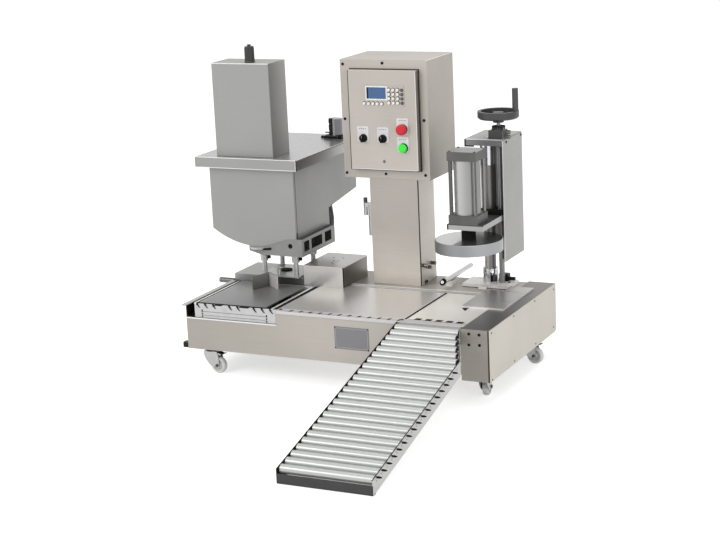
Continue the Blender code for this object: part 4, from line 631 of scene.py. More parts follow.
# Sheet metal and turned parts in the CAD's shape: name, body, slot, finish and edge, then regions in the
# machine's measures that get a finish of their own
dressed = {
    "base_shell": ("tableShell", "machine", "beige_sheet", "beigeSheet", 0.0008,
        ((-0.0008, -0.001, -0.02), (1.43, 0.001, 0.2195), "tableFront"),
        ((-0.09, 0.44, 0.19), (-0.0005, 0.49, 0.24), "crossSteel"),
        ((-0.03, -0.001, 0.0), (-0.0005, 0.032, 0.03), "black"),
        # the recess under the weigh plate is dark: painted shade
        ((0.001, 0.0005, 0.15), (0.4875, 0.4665, 0.2183), "rubber"),
        ((0.0, 0.4665, 0.218), (1.43, 0.8285, 0.2192), "rearSheet")),
    "end_block": ("endBlock", "machine", "beige_sheet", "blockSheet", 0.001,
        ((1.42, -0.039, 0.2235), (1.57, 0.83, 0.2245), "blockTop")),
    "centre_plate": ("centrePlate", "machine", "pale_sheet", "plateSheet", 0.0004),
    "outfeed_plate": ("outfeedPlates", "machine", "pale_sheet", "outfeedSheet", 0.0004,
        ((1.299, 0.2905, 0.2305), (1.5, 0.6, 0.24), "bridgeSheet"),
        ((1.299, 0.28, 0.2225), (1.5, 0.2905, 0.24), "railSheet")),
    "rear_rail": ("rearRail", "machine", "pale_sheet", "rightRail", 0.0006),
    "left_rail": ("leftRail", "machine", "pale_sheet", "rightRail", 0.0006),
    "weigh_frame": ("weighFrame", "machine", "pale_nylon", "white", 0.0008),
    "weigh_plate": ("weighPlate", "machine", "grey_sheet", "weighSheet", 0.0006),
    "stop_bracket": ("stopPlate", "machine", "dark_metal", "stopSheet", 0.0005,
        ((0.2345, 0.3, 0.22), (0.32, 0.4145, 0.2895), "railSheet")),
    "rear_deck": ("rearDeck", "machine", "grey_sheet", "deckSheet", 0.001,
        ((0.0, 0.4625, 0.219), (0.4, 0.464, 0.258), "deckFront")),
    "junction_box": ("junctionBox", "machine", "pale_sheet", "boxSheet", 0.001,
        ((0.39, 0.4625, 0.219), (0.62, 0.464, 0.324), "boxFront"),
        ((0.6115, 0.46, 0.219), (0.6125, 0.74, 0.324), "boxSide")),
    "control_column": ("controlColumn", "machine", "beige_sheet", "beigeSheet", 0.0008,
        ((0.66, 0.6125, 0.22), (0.9565, 0.6135, 0.745), "columnFront"),
        ((0.64, 0.62, 0.605), (0.67, 0.68, 0.64), "castDark"),
        ((0.957, 0.6, 0.27), (0.99, 0.78, 0.34), "bronze"),
        ((0.64, 0.62, 0.44), (0.7045, 0.68, 0.64), "postSteel"),
        ((0.955, 0.62, 0.22), (0.9565, 0.8, 0.74), "columnSide")),
    "control_box": ("controlBox", "machine", "beige_sheet", "beigeSheet", 0.0012),
    "control_door": ("controlDoor", "door", "beige_sheet", "doorSheet", 0.0008,
        # the door's top face is pale: a painted highlight; its right side face takes painted shade
        ((0.62, 0.577, 1.2655), (0.99, 0.62, 1.2665), "railSheet"),
        ((0.9805, 0.577, 0.78), (0.9815, 0.62, 1.27), "doorSide")),
    "head_housing": ("headHousing", "filling_head", "grey_sheet", "greySheet", 0.001,
        ((0.36, 0.7655, 0.39), (0.42, 0.82, 0.5535), "darkPaint"),
        ((0.4095, 0.4, 0.39), (0.4105, 1.09, 0.81), "housingSide")),
    "head_lid": ("headLid", "filling_head", "grey_sheet", "greySheet", 0.001,
        ((0.28, 0.95, 0.8625), (0.38, 1.01, 0.8775), "black"),
        ((0.31, 0.95, 0.8125), (0.345, 1.01, 0.97), "black"),
        ((0.345, 0.95, 0.8625), (0.38, 1.01, 0.97), "white"),
        ((-0.12, 0.36, 0.8605), (0.45, 1.1, 0.8615), "lidTop"),
        ((0.4425, 0.36, 0.8), (0.4435, 1.1, 0.862), "lidSide")),
    "head_tower": ("headTower", "filling_head", "grey_sheet", "greySheet", 0.001,
        ((0.3005, 0.4, 0.86), (0.3015, 0.57, 1.32), "towerSide"),
        ((0.14, 0.4, 1.3155), (0.22, 0.48, 1.41), "charcoal")),
    "head_posts": ("headPosts", "machine", "chrome", "postSteel", 0.0,
        ((0.215, 0.53, 0.2585), (0.285, 0.6, 0.271), "rubber")),
    "head_frame": ("headFrame", "filling_head", "cast_grey", "frameGrey", 0.0008,
        ((0.156, 0.452, 0.344), (0.2, 0.496, 0.38), "bandSheet"),
        ((0.331, 0.452, 0.344), (0.375, 0.496, 0.38), "bandSheet"),
        ((0.3795, 0.4235, 0.399), (0.4295, 0.7175, 0.451), "castDark"),
        ((0.34, 0.4025, 0.41), (0.39, 0.43, 0.45), "rubber")),
    "press_column": ("pressColumn", "machine", "steel", "ivory", 0.0,
        ((1.14, 0.6635, 0.218), (1.4, 0.6645, 0.2365), "railSheet"),
        ((1.3, 0.745, 0.2365), (1.39, 0.79, 0.28), "black"),
        ((1.22, 0.71, 0.2365), (1.301, 0.8, 0.3005), "chrome"),
        ((1.22, 0.71, 0.3), (1.301, 0.8, 1.0), "guideSteel")),
    "press_bracket": ("pressBracket", "machine", "grey_sheet", "coverSheet", 0.0006,
        ((1.29, 0.69, 0.9855), (1.37, 0.77, 1.0), "rubber"),
        ((1.29, 0.69, 0.9365), (1.36, 0.77, 0.9855), "castDark"),
        ((1.36, 0.69, 0.9325), (1.4, 0.77, 0.98), "castGrey"),
        ((1.18, 0.6835, 0.905), (1.362, 0.6845, 0.937), "plateGrey"),
        ((1.22, 0.71, 0.8), (1.301, 0.8, 0.9045), "chrome")),
    "press_cover": ("pressCover", "machine", "grey_sheet", "coverSheet", 0.0004),
    "press_carriage": ("pressCarriage", "carriage", "grey_sheet", "carriageSheet", 0.0,
        ((1.17, 0.43, 0.5765), (1.36, 0.81, 0.5775), "castDark"),
        ((1.17, 0.43, 0.5505), (1.36, 0.81, 0.5515), "castDark"),
        ((1.22, 0.71, 0.5955), (1.301, 0.8, 0.81), "guideSteel"),
        ((1.23, 0.67, 0.5775), (1.36, 0.81, 0.6), "rubber")),
    "press_cylinder": ("pressCylinder", "carriage", "cast_grey", "capMetal", 0.0,
        ((1.18, 0.42, 0.9175), (1.34, 0.58, 0.9185), "capTop"),
        ((1.198, 0.42, 0.621), (1.32, 0.58, 0.8745), "barrelSteel")),
    "press_disc": ("pressDisc", "press_disc", "steel", "discSteel", 0.0,
        ((1.09, 0.34, 0.4995), (1.43, 0.67, 0.5005), "discTop"),
        ((1.22, 0.46, 0.5005), (1.3, 0.54, 0.56), "rubber"),
        ((1.2, 0.44, 0.545), (1.32, 0.56, 0.9), "chrome")),
    "press_handwheel": ("pressHandwheel", "handwheel", "dark_metal", "darkPaint", 0.0,
        # the shaft above the gear block is pale: a painted bright reflection
        ((1.31, 0.7, 0.99), (1.36, 0.76, 1.0115), "nylon"),
        ((1.31, 0.7, 0.2), (1.36, 0.76, 1.01), "screwSteel")),
    "handwheel_grip": ("wheelGrip", "wheel_grip", "black_plastic", "darkPaint", 0.0),
    "pusher_cylinder": ("pusherCylinder", "machine", "steel", "pusherSteel", 0.0,
        ((1.06, 0.645, 0.219), (1.11, 0.705, 0.243), "outfeedSheet")),
    "pusher_rod": ("pusherRod", "pusher_rod", "chrome", "chrome", 0.0,
        ((1.07, 0.565, 0.24), (1.11, 0.582, 0.275), "rubber")),
    "transfer_roller": ("transferRoller", "transfer_roller", "roller_steel", "brightSteel", 0.0),
}
for node, (name, body, slot, finish, edge, *regions) in dressed.items():
    dressNode(node, name, body, finish, edge, regions)
print("sheet metal dressed")

# The slanted black marks are painted shadow in the rail's slots, and the grey strip under the rail's front
# edge is a painted shadow line.
frontRail = {
    "plates": (("bandSheet", ((-0.0023, 0.207), (-0.0003, 0.207), (-0.0003, 0.2192), (0.042, 0.2192),
                              (0.042, 0.2212), (-0.0023, 0.2212)), "X", 0.4873, 1.4287, 0.0005),),
    "boxes": (
        ("railSheet", (0.4875, 0.0385, 0.2208), (1.122, 0.0419, 0.2217), 0.0002),
        ("railSheet", (0.4875, -0.0026, 0.2203), (1.428, -0.0005, 0.2217), 0.0002),
        ("plateGrey", (0.4875, -0.0026, 0.2068), (1.428, -0.0012, 0.2078), 0.0002)),
    "marks": (([(0.5576 + 0.05 * k, 0.0235, 0.221) for k in range(12)], 0.009, 0.003, 0.012),),
    "turned": (
        ("castDark", ((0.0028, 0), (0.0075, 0), (0.007, 0.0028), (0.0028, 0.0028)), (1.118, 0.03, 0.221),
         up, 24),
        ("rubber", ((0, 0), (0.0085, 0), (0.008, 0.0018), (0, 0.0018)), (0.4965, 0.033, 0.221), up, 20)),
}
makePiece("frontRail", tableParts(frontRail), "machine", ("front_rail",))

# The black wedge is a painted shadow under the bridge plate's corner, the black bars are painted shadow in
# the gaps beside the plates and in front of the rear rails, the pale strips beside the middle bar are painted
# highlights, and the slanted marks are painted shadow in slots.
tableSlits = {
    "plates": (("rubber", ((1.302, 0.2895), (1.335, 0.246), (1.333, 0.2895)), "Z", 0.2218, 0.2232, 0.0003),),
    "boxes": (
        ("rubber", (1.138, 0.0425, 0.2218), (1.425, 0.0455, 0.2224), 0.0002),
        ("rubber", (1.123, 0.0425, 0.2216), (1.1355, 0.5178, 0.2224), 0.0002),
        ("railSheet", (1.118, 0.0425, 0.2216), (1.123, 0.5178, 0.2228), 0.0003),
        ("railSheet", (1.1355, 0.0425, 0.2216), (1.1405, 0.5178, 0.2228), 0.0003),
        ("rubber", (0.6205, 0.5188, 0.219), (1.2995, 0.5219, 0.2202), 0.0002),
        ("railSheet", (0.6205, 0.5445, 0.219), (1.2995, 0.549, 0.2262), 0.0003),
        ("rubber", (1.06, 0.5495, 0.2188), (1.2995, 0.555, 0.22), 0.0003),
        ("railSheet", (1.06, 0.5555, 0.2188), (1.2995, 0.5625, 0.225), 0.0003)),
    "marks": (([(1.1855 + 0.0508 * k, 0.056, 0.2221) for k in range(5)], 0.017, 0.013, 0.013),),
}
makePiece("tableSlits", tableParts(tableSlits), "machine")

sidePanel = {
    "plates": (("sideSheet", [(-0.04, -0.013), (-0.04, 0.224), (0.829, 0.224),
                              *arcPoints((0.807, 0.009), 0.022, 0, -90, 6)], "X", 1.562, 1.5648, 0.0007),),
    "boxes": (("brownSeal", (1.556, -0.0406, -0.013), (1.5622, -0.0397, 0.2238), 0.0002),),
}
makePiece("sidePanel", tableParts(sidePanel), "machine", ("side_panel",))

bridgePlate = {
    "plates": (("bridgeSheet", ((1.2994, 0.2898), (1.506, 0.2898), (1.506, 0.685), (1.3925, 0.685),
                                (1.3925, 0.5905), (1.2994, 0.5905)), "Z", 0.2243, 0.2327, 0.0005),),
    "boxes": (
        ("railSheet", (1.2994, 0.2892, 0.2243), (1.5062, 0.2902, 0.2326), 0.0003),
        ("railSheet", (1.5054, 0.2892, 0.2243), (1.5066, 0.685, 0.2326), 0.0003),
        ("castDark", (1.436, 0.419, 0.2325), (1.485, 0.4215, 0.233), 0.0001),
        ("castDark", (1.405, 0.5885, 0.2325), (1.469, 0.591, 0.233), 0.0001)),
}
makePiece("bridgePlate", tableParts(bridgePlate), "machine")

blockScrews = [(x, -0.0398, z) for x, z in ((1.469, 0.204), (1.517, 0.203), (1.468, 0.154), (1.518, 0.156))]
panelScrews = [(1.5644, y, z) for y, z in ((-0.012, 0.208), (0.262, 0.212), (0.538, 0.211), (-0.013, -0.005),
                                           (0.261, 0.001), (0.54, 0.004), (0.8, 0.2), (0.79, 0.016))]
tableScrews = {"studs": (
    (blockScrews, 0.0066, 0.003, front), (panelScrews, 0.0045, 0.0015, right, "darkPaint"))}
makePiece("tableScrews", tableParts(tableScrews), "machine")

nameplate = {
    "low": (0.788, 0.067),
    "high": (0.962, 0.173),
    "depth": 0.0012,
    "corner": 0.004,
    "inset": 0.006,
    "rimWidth": 0.0012,
    "screw": (0.0032, 0.0016),
}


def makeNameplate():
    low, high, depth, corner = (nameplate[key] for key in ("low", "high", "depth", "corner"))
    rim = inset(low, high, nameplate["inset"])
    (x0, z0), (x1, z1) = inset(low, high, corner)
    makePiece("nameplate", [
        (plateShape(roundedOutline(low, high, corner), "Y", -depth, -0.0001, 0.0003), "plateGrey"),
        *rimParts(*rim, nameplate["rimWidth"], -depth - 0.0003, -depth + 0.0002, 0.0001, "steel"),
        studs([(x, -depth, z) for x in (x0, x1) for z in (z0, z1)], *nameplate["screw"], front)],
        "machine")


makeNameplate()

weighing = {
    "slots": [0.069 + 0.0438 * k for k in range(10) if k not in (3, 6)],
    "slant": math.radians(34),
    "face": 0.002,
    "slits": (0.0888, 0.4362),
    "slitHalf": 0.0032,
    "slitLevels": ((0.1605, 0.169), (0.173, 0.1815), (0.1855, 0.1965)),
    "boxes": (
        ("rubber", (0.153, 0.008, 0.2186), (0.19, 0.0357, 0.2226), 0.0005),
        ("rubber", (0.287, 0.008, 0.2186), (0.334, 0.0357, 0.2226), 0.0005),
        # the next two black strips are painted shadow in the gaps beside the weigh plate
        ("rubber", (0.05, 0.028, 0.212), (0.413, 0.0357, 0.2222), 0.0003),
        ("rubber", (0.0425, 0.03, 0.208), (0.048, 0.45, 0.2206), 0.0003),
        ("plateGrey", (0.0928, 0.0016, 0.1868), (0.4322, 0.003, 0.1896), 0.0002),
        ("weighSheet", (0.0928, 0.0016, 0.169), (0.4322, 0.003, 0.1716), 0.0002),
        # a black strip: painted shadow in the gap beside the transfer roller
        ("rubber", (0.456, 0.03, 0.214), (0.4785, 0.46, 0.2196), 0.0003)),
}
weighLip = {"boxes": (
    ("railSheet", (0.0, -0.0028, 0.149), (0.487, 0.0004, 0.156), 0.0006),
    ("darkPaint", (0.0, -0.0014, 0.1562), (0.487, 0.0004, 0.1572), 0.0002),
    ("railSheet", (0.031, 0.028, 0.209), (0.042, 0.456, 0.2205), 0.0008, 2)),
}


def makeWeighTrim():
    face, half = weighing["face"], weighing["slitHalf"]
    notch = plateShape(((-0.0105, 0.0), (-0.0015, 0.0), (0.011, -0.014), (0.0035, -0.014)), "Y",
                       -0.0006, 0.0006, 0.0002)
    slot = boxShape((-0.0045, 0.0, -0.0003), (0.0045, 0.03, 0.0009), 0.0002)
    slot.transform(Matrix.Rotation(weighing["slant"], 4, "Z"))
    slits = [(boxShape((x - half, face - 0.0007, low), (x + half, face + 0.001, high), 0.0003), "rubber")
             for x in weighing["slits"] for low, high in weighing["slitLevels"]]
    makePiece("weighSlots", [
        repeated(notch, [(x, face, 0.2192) for x in weighing["slots"]], "rubber"),
        repeated(slot, [(x - 0.005, 0.0022, 0.219) for x in weighing["slots"]], "rubber"),
        *slits, *tableParts(weighing)], "machine")
    makePiece("weighLip", tableParts(weighLip), "machine")


makeWeighTrim()
print("table made")

# Seams, screws and small fittings of the head, the press and the column
headHole, headDish = (0.365, 0.4026, 0.43), (0.192, 0.43, 0)
headTrim = {
    "boxes": (
        ("castDark", (0.4082, 0.3994, 0.4985), (0.4106, 0.4006, 0.8085), 0.0003),
        ("rubber", (0.4074, 0.3986, 0.466), (0.4114, 0.401, 0.4985), 0.0004),
        ("castDark", (0.4085, 0.401, 0.4659), (0.4297, 0.72, 0.4682), 0.0004)),
    "turned": (
        ("rubber", ((0.005, 0), (0.012, 0), (0.0112, 0.0016), (0.005, 0.0016)), headHole, front, 28,
         0.0004),
        ("rubber", band(0, 0.0055, 0.0002, 0.0008), headHole, front, 20, 0.0002),
        ("bandSheet", ((0, 0.403), (0.046, 0.403), (0.056, 0.408), (0.058, 0.4165), (0, 0.4165)), headDish,
         up, 56, 0.0012)),
    "rods": (("rubber", (0.222, 0.385, 0.411), (0.258, 0.4, 0.411), 0.0055, 16),),
}
# The pale strips along the lid's rims and the tower's top edge are painted highlights, and the grey strips
# under the lid's right rim and down the tower's right edge are painted shade.
headEdges = {"boxes": (
    ("railSheet", (0.4396, 0.362, 0.86), (0.4436, 1.093, 0.862), 0.0004),
    ("plateGrey", (0.4425, 0.362, 0.8545), (0.444, 1.093, 0.86), 0.0003),
    ("railSheet", (-0.113, 0.3594, 0.858), (0.437, 0.361, 0.8617), 0.0003),
    ("railSheet", (-0.113, 0.3594, 0.8085), (0.437, 0.3606, 0.8118), 0.0003),
    ("castGrey", (-0.1138, 0.3594, 0.809), (-0.1112, 0.361, 0.8612), 0.0003),
    ("railSheet", (0.437, 0.3592, 0.8088), (0.44, 0.3608, 0.8614), 0.0003),
    ("rubber", (0.44, 0.3592, 0.8088), (0.444, 0.3612, 0.8614), 0.0003),
    ("plateGrey", (0.2982, 0.399, 0.8625), (0.3016, 0.401, 1.314), 0.0003),
    ("railSheet", (-0.01, 0.399, 1.3105), (0.2995, 0.4006, 1.315), 0.0003)),
}
regulator = {
    "turned": (
        ("rubber", ((0, 0.877), (0.0165, 0.877), (0.0165, 0.893), (0.014, 0.895), (0.014, 0.899),
                    (0.0165, 0.901), (0.0165, 0.93), (0.014, 0.932), (0.014, 0.936), (0.0165, 0.938),
                    (0.0165, 0.96), (0.012, 0.964), (0, 0.964)), (0.329, 0.98, 0), up, 32, 0.0008),
        ("lavender", ((0, 0.88), (0.0215, 0.88), (0.0232, 0.884), (0.0232, 0.96), (0.0205, 0.9648),
                      (0, 0.9648)), (0.3635, 0.98, 0), up, 48, 0.001),
        ("black", band(0, 0.009, 0, 0.006), (0.273, 0.98, 0.862), up, 20, 0.0006)),
    "boxes": (("black", (0.302, 0.958, 0.8615), (0.389, 1.002, 0.879), 0.0015, 2),),
    "rods": (("black", (0.268, 0.98, 0.868), (0.303, 0.98, 0.868), 0.0055, 20),
             ("castDark", (0.29, 0.98, 0.89), (0.315, 0.98, 0.89), 0.0035, 16)),
}
clampHandle = ((0, 0), (0.007, 0), (0.0085, 0.004), (0.008, 0.014), (0, 0.015))
clamps = ((0.178, 0.474), (0.353, 0.474), (0.178, 0.657))
postClamps = {
    "rods": [("steel", (x + 0.015, y - 0.006, 0.353), (x + 0.026, y - 0.01, 0.353), 0.0045, 16)
             for x, y in clamps],
    "turned": [("rubber", clampHandle, (x + 0.024, y - 0.01, 0.353), right, 20, 0.001) for x, y in clamps],
}
pressTrim = {
    "boxes": (
        ("castGrey", (1.195, 0.9352, 0.408), (1.363, 0.938, 0.9048), 0.0005),
        ("rubber", (1.1745, 0.6836, 0.899), (1.1825, 0.69, 0.934), 0.0005),
        ("rubber", (1.1745, 0.6836, 0.8985), (1.2215, 0.69, 0.9048), 0.0005),
        ("railSheet", (1.1825, 0.6832, 0.9325), (1.363, 0.6846, 0.9368), 0.0003),
        ("railSheet", (1.364, 0.6838, 0.3485), (1.3668, 0.6868, 0.93), 0.0004),
        ("ivory", (1.2415, 0.642, 0.2186), (1.281, 0.652, 0.229), 0.0008, 2),
        # a dark strip under the plinth's front edge: a painted shadow line
        ("castDark", (1.15, 0.6628, 0.2186), (1.388, 0.6642, 0.2215), 0.0002)),
    "turned": (
        ("railSheet", ((0, 0), (0.01, 0), (0.01, 0.0012), (0.0075, 0.0016), (0.0075, 0.006), (0, 0.006)),
         (1.277, 0.728, 0.9362), up, 24, 0.0006),
        ("rubber", band(0, 0.006, 0, 0.003), (1.3646, 0.7346, 0.236), up, 20, 0.0006)),
    "studs": ((((1.3662, 0.732, 0.918), (1.3662, 0.931, 0.92)), 0.0062, 0.0026, right, "rubber"),),
}
capBolts = [(x, y, 0.9176) for x in (1.1965, 1.3215) for y in (0.4455, 0.5565)]
cylinderTrim = {
    "rods": [(finish, (x, y, 0.6215), (x, y, 0.874), radius, 24)
             for x, radius, finish in ((1.1985, 0.0092, "capMetal"), (1.3195, 0.0072, "screwSteel"))
             for y in (0.4475, 0.5545)],
    "boxes": (
        ("rubber", (1.1776, 0.4352, 0.5512), (1.1845, 0.4368, 0.5768), 0.0003),
        ("castDark", (1.1845, 0.4354, 0.5735), (1.3578, 0.4368, 0.5772), 0.0003)),
    "studs": ((capBolts, 0.006, 0.003, up, "castDark", "rubber", 0.55, 0.0015),),
}
pusherRing = {"turned": (
    ("rubber", band(0.007, 0.014, 0, 0.003), (1.087, 0.5905, 0.2595), front, 32, 0.0006),)}
pusherFace = {"turned": (
    ("brightSteel", ((0, 0), (0.0085, 0), (0.008, 0.0012), (0, 0.0012)), (1.0885, 0.5663, 0.2605), front, 28,
     0.0003),)}
lidScrews = [(x, y, 0.3238) for x, y in ((0.524, 0.65), (0.474, 0.644), (0.506, 0.583), (0.528, 0.583),
                                         (0.518, 0.54))]
boxEdges = {
    "boxes": (
        ("brownSeal", (0.9552, 0.6128, 0.2195), (0.9572, 0.6235, 0.7395), 0.0004),
        ("rubber", (0.6105, 0.4625, 0.2195), (0.613, 0.47, 0.3235), 0.0004),
        ("railSheet", (0.6115, 0.47, 0.32), (0.6132, 0.738, 0.3243), 0.0004),
        ("railSheet", (1.0238, 0.602, 1.31), (1.0258, 0.9285, 1.3134), 0.0004)),
    "studs": ((lidScrews, 0.004, 0.0012, up, "darkPaint"),
              (((0.9562, 0.68, 0.229), (0.9562, 0.664, 0.229)), 0.0065, 0.006, right, "castDark")),
}
for name, table, body, slot in (
        ("headTrim", headTrim, "filling_head", "black_plastic"),
        ("headEdges", headEdges, "filling_head", "pale_sheet"),
        ("regulator", regulator, "filling_head", "black_plastic"),
        ("postClamps", postClamps, "filling_head", "black_plastic"),
        ("pressTrim", pressTrim, "machine", "grey_sheet"),
        ("cylinderTrim", cylinderTrim, "carriage", "dark_metal"),
        ("pusherRing", pusherRing, "machine", "black_plastic"),
        ("pusherFace", pusherFace, "pusher_rod", "chrome"),
        ("boxEdges", boxEdges, "machine", "pale_sheet")):
    makePiece(name, tableParts(table), body)
print("small fittings made")

# Control box, door and its controls
doorFace = 0.613 - 0.0003 - 0.036
controlDoor = {
    "low": (0.628, 0.788),
    "high": (0.981, 1.266),
    "lip": 0.005,
    "gasketWidth": 0.009,
    "gasketDepth": (0.6075, 0.6126),
    # strips on the door's face: the dark ones along the left and bottom edges are painted shade, the pale
    # ones along the bottom and right edges painted highlights
    "edges": ((0.628, 0.788, 0.981, 0.791, "brownSeal"), (0.628, 0.788, 0.6316, 1.266, "brownSeal"),
              (0.6316, 0.791, 0.981, 0.794, "railSheet"), (0.978, 0.788, 0.981, 1.266, "railSheet")),
    "plates": ((0.668, 0.728, 0.924, 0.999), (0.773, 0.833, 0.924, 0.997), (0.877, 0.937, 0.966, 1.043),
               (0.876, 0.936, 0.88, 0.953)),
    "plateDepth": 0.0016,
    "tickShares": (0.24, 0.41, 0.59, 0.76),
    "lock": (0.805, 0.832),
    "lockProfile": ((0, -0.001), (0.008, -0.001), (0.008, 0.0012), (0.0066, 0.002), (0.0058, 0.002),
                    (0.005, 0.0008), (0, 0.0008)),
    "boxBolts": [(x, 0.6131, z) for x, z in (
        (0.589, 1.29), (0.797, 1.297), (0.588, 1.026), (1.003, 1.029), (0.586, 0.763), (0.794, 0.765),
        (1.001, 0.766))],
}


def makeDoorTrim():
    lip, depth = controlDoor["lip"], controlDoor["plateDepth"]
    gasket = rimParts(*inset(controlDoor["low"], controlDoor["high"], -lip), controlDoor["gasketWidth"],
                      *controlDoor["gasketDepth"], 0.0006, "brownSeal", lip)
    edges = [(boxShape((x0, doorFace - 0.0003, z0), (x1, doorFace + 0.002, z1), 0.0002), finish)
             for x0, z0, x1, z1, finish in controlDoor["edges"]]
    makePiece("doorGasket", gasket + edges, "door")

    plates = [(plateShape(roundedOutline((x0, z0), (x1, z1), 0.006), "Y", doorFace - depth,
                          doorFace - 0.0001, 0.0004, 2), "label")
              for x0, x1, z0, z1 in controlDoor["plates"]]
    spots = [(x0 + (x1 - x0) * share, doorFace - depth, z1 - 0.011)
             for x0, x1, _, z1 in controlDoor["plates"] for share in controlDoor["tickShares"]]
    tick = boxShape((-0.003, -0.0016, -0.0002), (0.003, 0.0016, 0.0003), 0.0001)
    makePiece("legendPlates", [*plates, repeated(tick, spots, "castGrey", front)], "door")

    x, z = controlDoor["lock"]
    lock = turnedShape(controlDoor["lockProfile"], (x, doorFace, z), front, 32, 0.0003)
    slot = boxShape((x - 0.0012, doorFace - 0.0016, z - 0.004), (x + 0.0012, doorFace - 0.0004, z + 0.004),
                    0.0002)
    makePiece("doorLock", [(lock, "doorSide"), (slot, "rubber")], "door")

    washer = turnedShape(band(0.0035, 0.0085, 0, 0.0009), sides=24, edge=0.0002)
    heads = [(x, y - 0.0003, z) for x, y, z in controlDoor["boxBolts"]]
    makePiece("boxBolts", [repeated(washer, controlDoor["boxBolts"], "steel", front),
                           studs(heads, 0.0072, 0.0022, front, "rubber")], "machine")


keypad = {
    "plate": ((0.703, 1.098), (0.921, 1.198)),
    "screen": ((0.728, 1.133), (0.828, 1.187)),
    "bezel": 0.0065,
    "key": (0.0075, 0.0044),
    "columns": [0.843 + 0.0225 * k for k in range(4)],
    "rows": [1.176 - 0.0205 * k for k in range(4)],
    "lowRow": [(0.713 + 0.0228 * k, 1.109) for k in range(5)],
    # how far the painted key shadows sit up and to the right
    "keyShadowShift": 0.0014,
}


def makeKeypad():
    base = doorFace - 0.0003
    face = base - 0.002
    screen, shift = keypad["screen"], keypad["keyShadowShift"]
    (x0, z0), (x1, z1) = screen
    bezel = roundedOutline(*inset(*screen, -keypad["bezel"]), 0.003)
    grid = [(x, face, z) for x in keypad["columns"] for z in keypad["rows"]]
    paleKeys, darkKeys = grid[:-4] + [(x, face, z) for x, z in keypad["lowRow"]], grid[-4:]
    keyShadowRing = turnedShape(band(0.007, 0.0096, -0.0002, 0.0007), sides=24, edge=0.0002)
    makePiece("keypadPanel", [
        (plateShape(roundedOutline(*keypad["plate"], 0.005), "Y", face, base, 0.0005, 2), "beigeSheet"),
        (plateShape(bezel, "Y", face - 0.0014, face + 0.0002, 0.0004, 2), "ivory"),
        (plateShape(roundedOutline(*screen, 0.0012, 3), "Y", face - 0.002, face - 0.0012, 0.0001), "screen"),
        (boxShape((x0, face - 0.0022, z0), (x0 + 0.009, face - 0.0019, z1), 0.0001), "navy"),
        (boxShape((x0, face - 0.0022, z1 - 0.002), (x1, face - 0.0019, z1), 0.0001), "navy"),
        # black rings set a little up and to the right of each pale key: painted shadows of the keys
        repeated(keyShadowRing, [(x + shift, y, z + shift) for x, y, z in paleKeys], "rubber", front),
        studs(darkKeys, *keypad["key"], front, "castDark", "plateGrey", 0.5, 0.0006, 24),
        studs(paleKeys, *keypad["key"], front, "ivory", "ivory", 0.78, 0.0006, 24)],
        "door", ("display_keypad",))


controls = {
    "stop": ((0.908, 0.99), 0.01, "red", 56, 0.0018,
             ((0, 0.0), (0.0235, 0.0), (0.026, 0.0035), (0.026, 0.013), (0.0245, 0.019), (0.0205, 0.0228),
              (0.011, 0.024), (0, 0.024))),
    "start": ((0.909, 0.901), 0.008, "green", 48, 0.0012,
              ((0, 0.0), (0.02, 0.0), (0.021, 0.003), (0.021, 0.0105), (0.019, 0.0132), (0.015, 0.014),
               (0, 0.014))),
    "neck": band(0, 0.0112, -0.0335, 0.0006),
    "selectors": (("left", 0.701), ("right", 0.803)),
    "selectorZ": 0.942,
    "selectorSunk": 0.002,
    "bar": (0.0048, 0.0175, 0.0035),
    "selectorProfile": ((0, -0.0205), (0.011, -0.0205), (0.011, 0.0), (0.018, 0.0), (0.018, 0.012),
                        (0.0165, 0.016), (0, 0.016)),
    "rings": (((0.908, 0.99), 0.025, 0.0034, "darkPaint"), ((0.909, 0.901), 0.023, 0.0034, "black"),
              ((0.701, 0.942), 0.0205, 0.0017, "black"), ((0.803, 0.942), 0.0205, 0.0017, "black")),
}


def makeControls():
    for name in ("stop", "start"):
        (x, z), sunk, finish, sides, edge, profile = controls[name]
        foot = (x, doorFace - sunk, z)
        makePiece(f"{name}Knob", [(turnedShape(controls["neck"], foot, front, 40, 0.0004), "rubber"),
                                  (turnedShape(profile, foot, front, sides, edge), finish)],
                  f"{name}_button", (f"{name}_button",), 50)
    low = controlDoor["plateDepth"] - 0.001
    makePiece("controlRings", [
        (turnedShape(band(0.0122, outer, low, rise), (x, doorFace, z), front, 40, 0.0006), finish)
        for (x, z), outer, rise, finish in controls["rings"]], "door")
    y, z = doorFace - controls["selectorSunk"], controls["selectorZ"]
    halfWidth, halfLength, corner = controls["bar"]
    for name, x in controls["selectors"]:
        bar = roundedOutline((x - halfWidth, z - halfLength), (x + halfWidth, z + halfLength), corner)
        makePiece(f"selectorKnob{name.capitalize()}", [
            (turnedShape(controls["selectorProfile"], (x, y, z), front, 48, 0.001), "rubber"),
            (plateShape(bar, "Y", y - 0.024, y - 0.012, 0.001, 2), "rubber"),
            (boxShape((x - 0.0007, y - 0.0243, 0.945), (x + 0.0007, y - 0.0235, 0.957), 0.0001), "white")],
            f"selector_{name}", (f"selector_{name}",))


makeDoorTrim()
makeKeypad()
makeControls()
print("controls made")

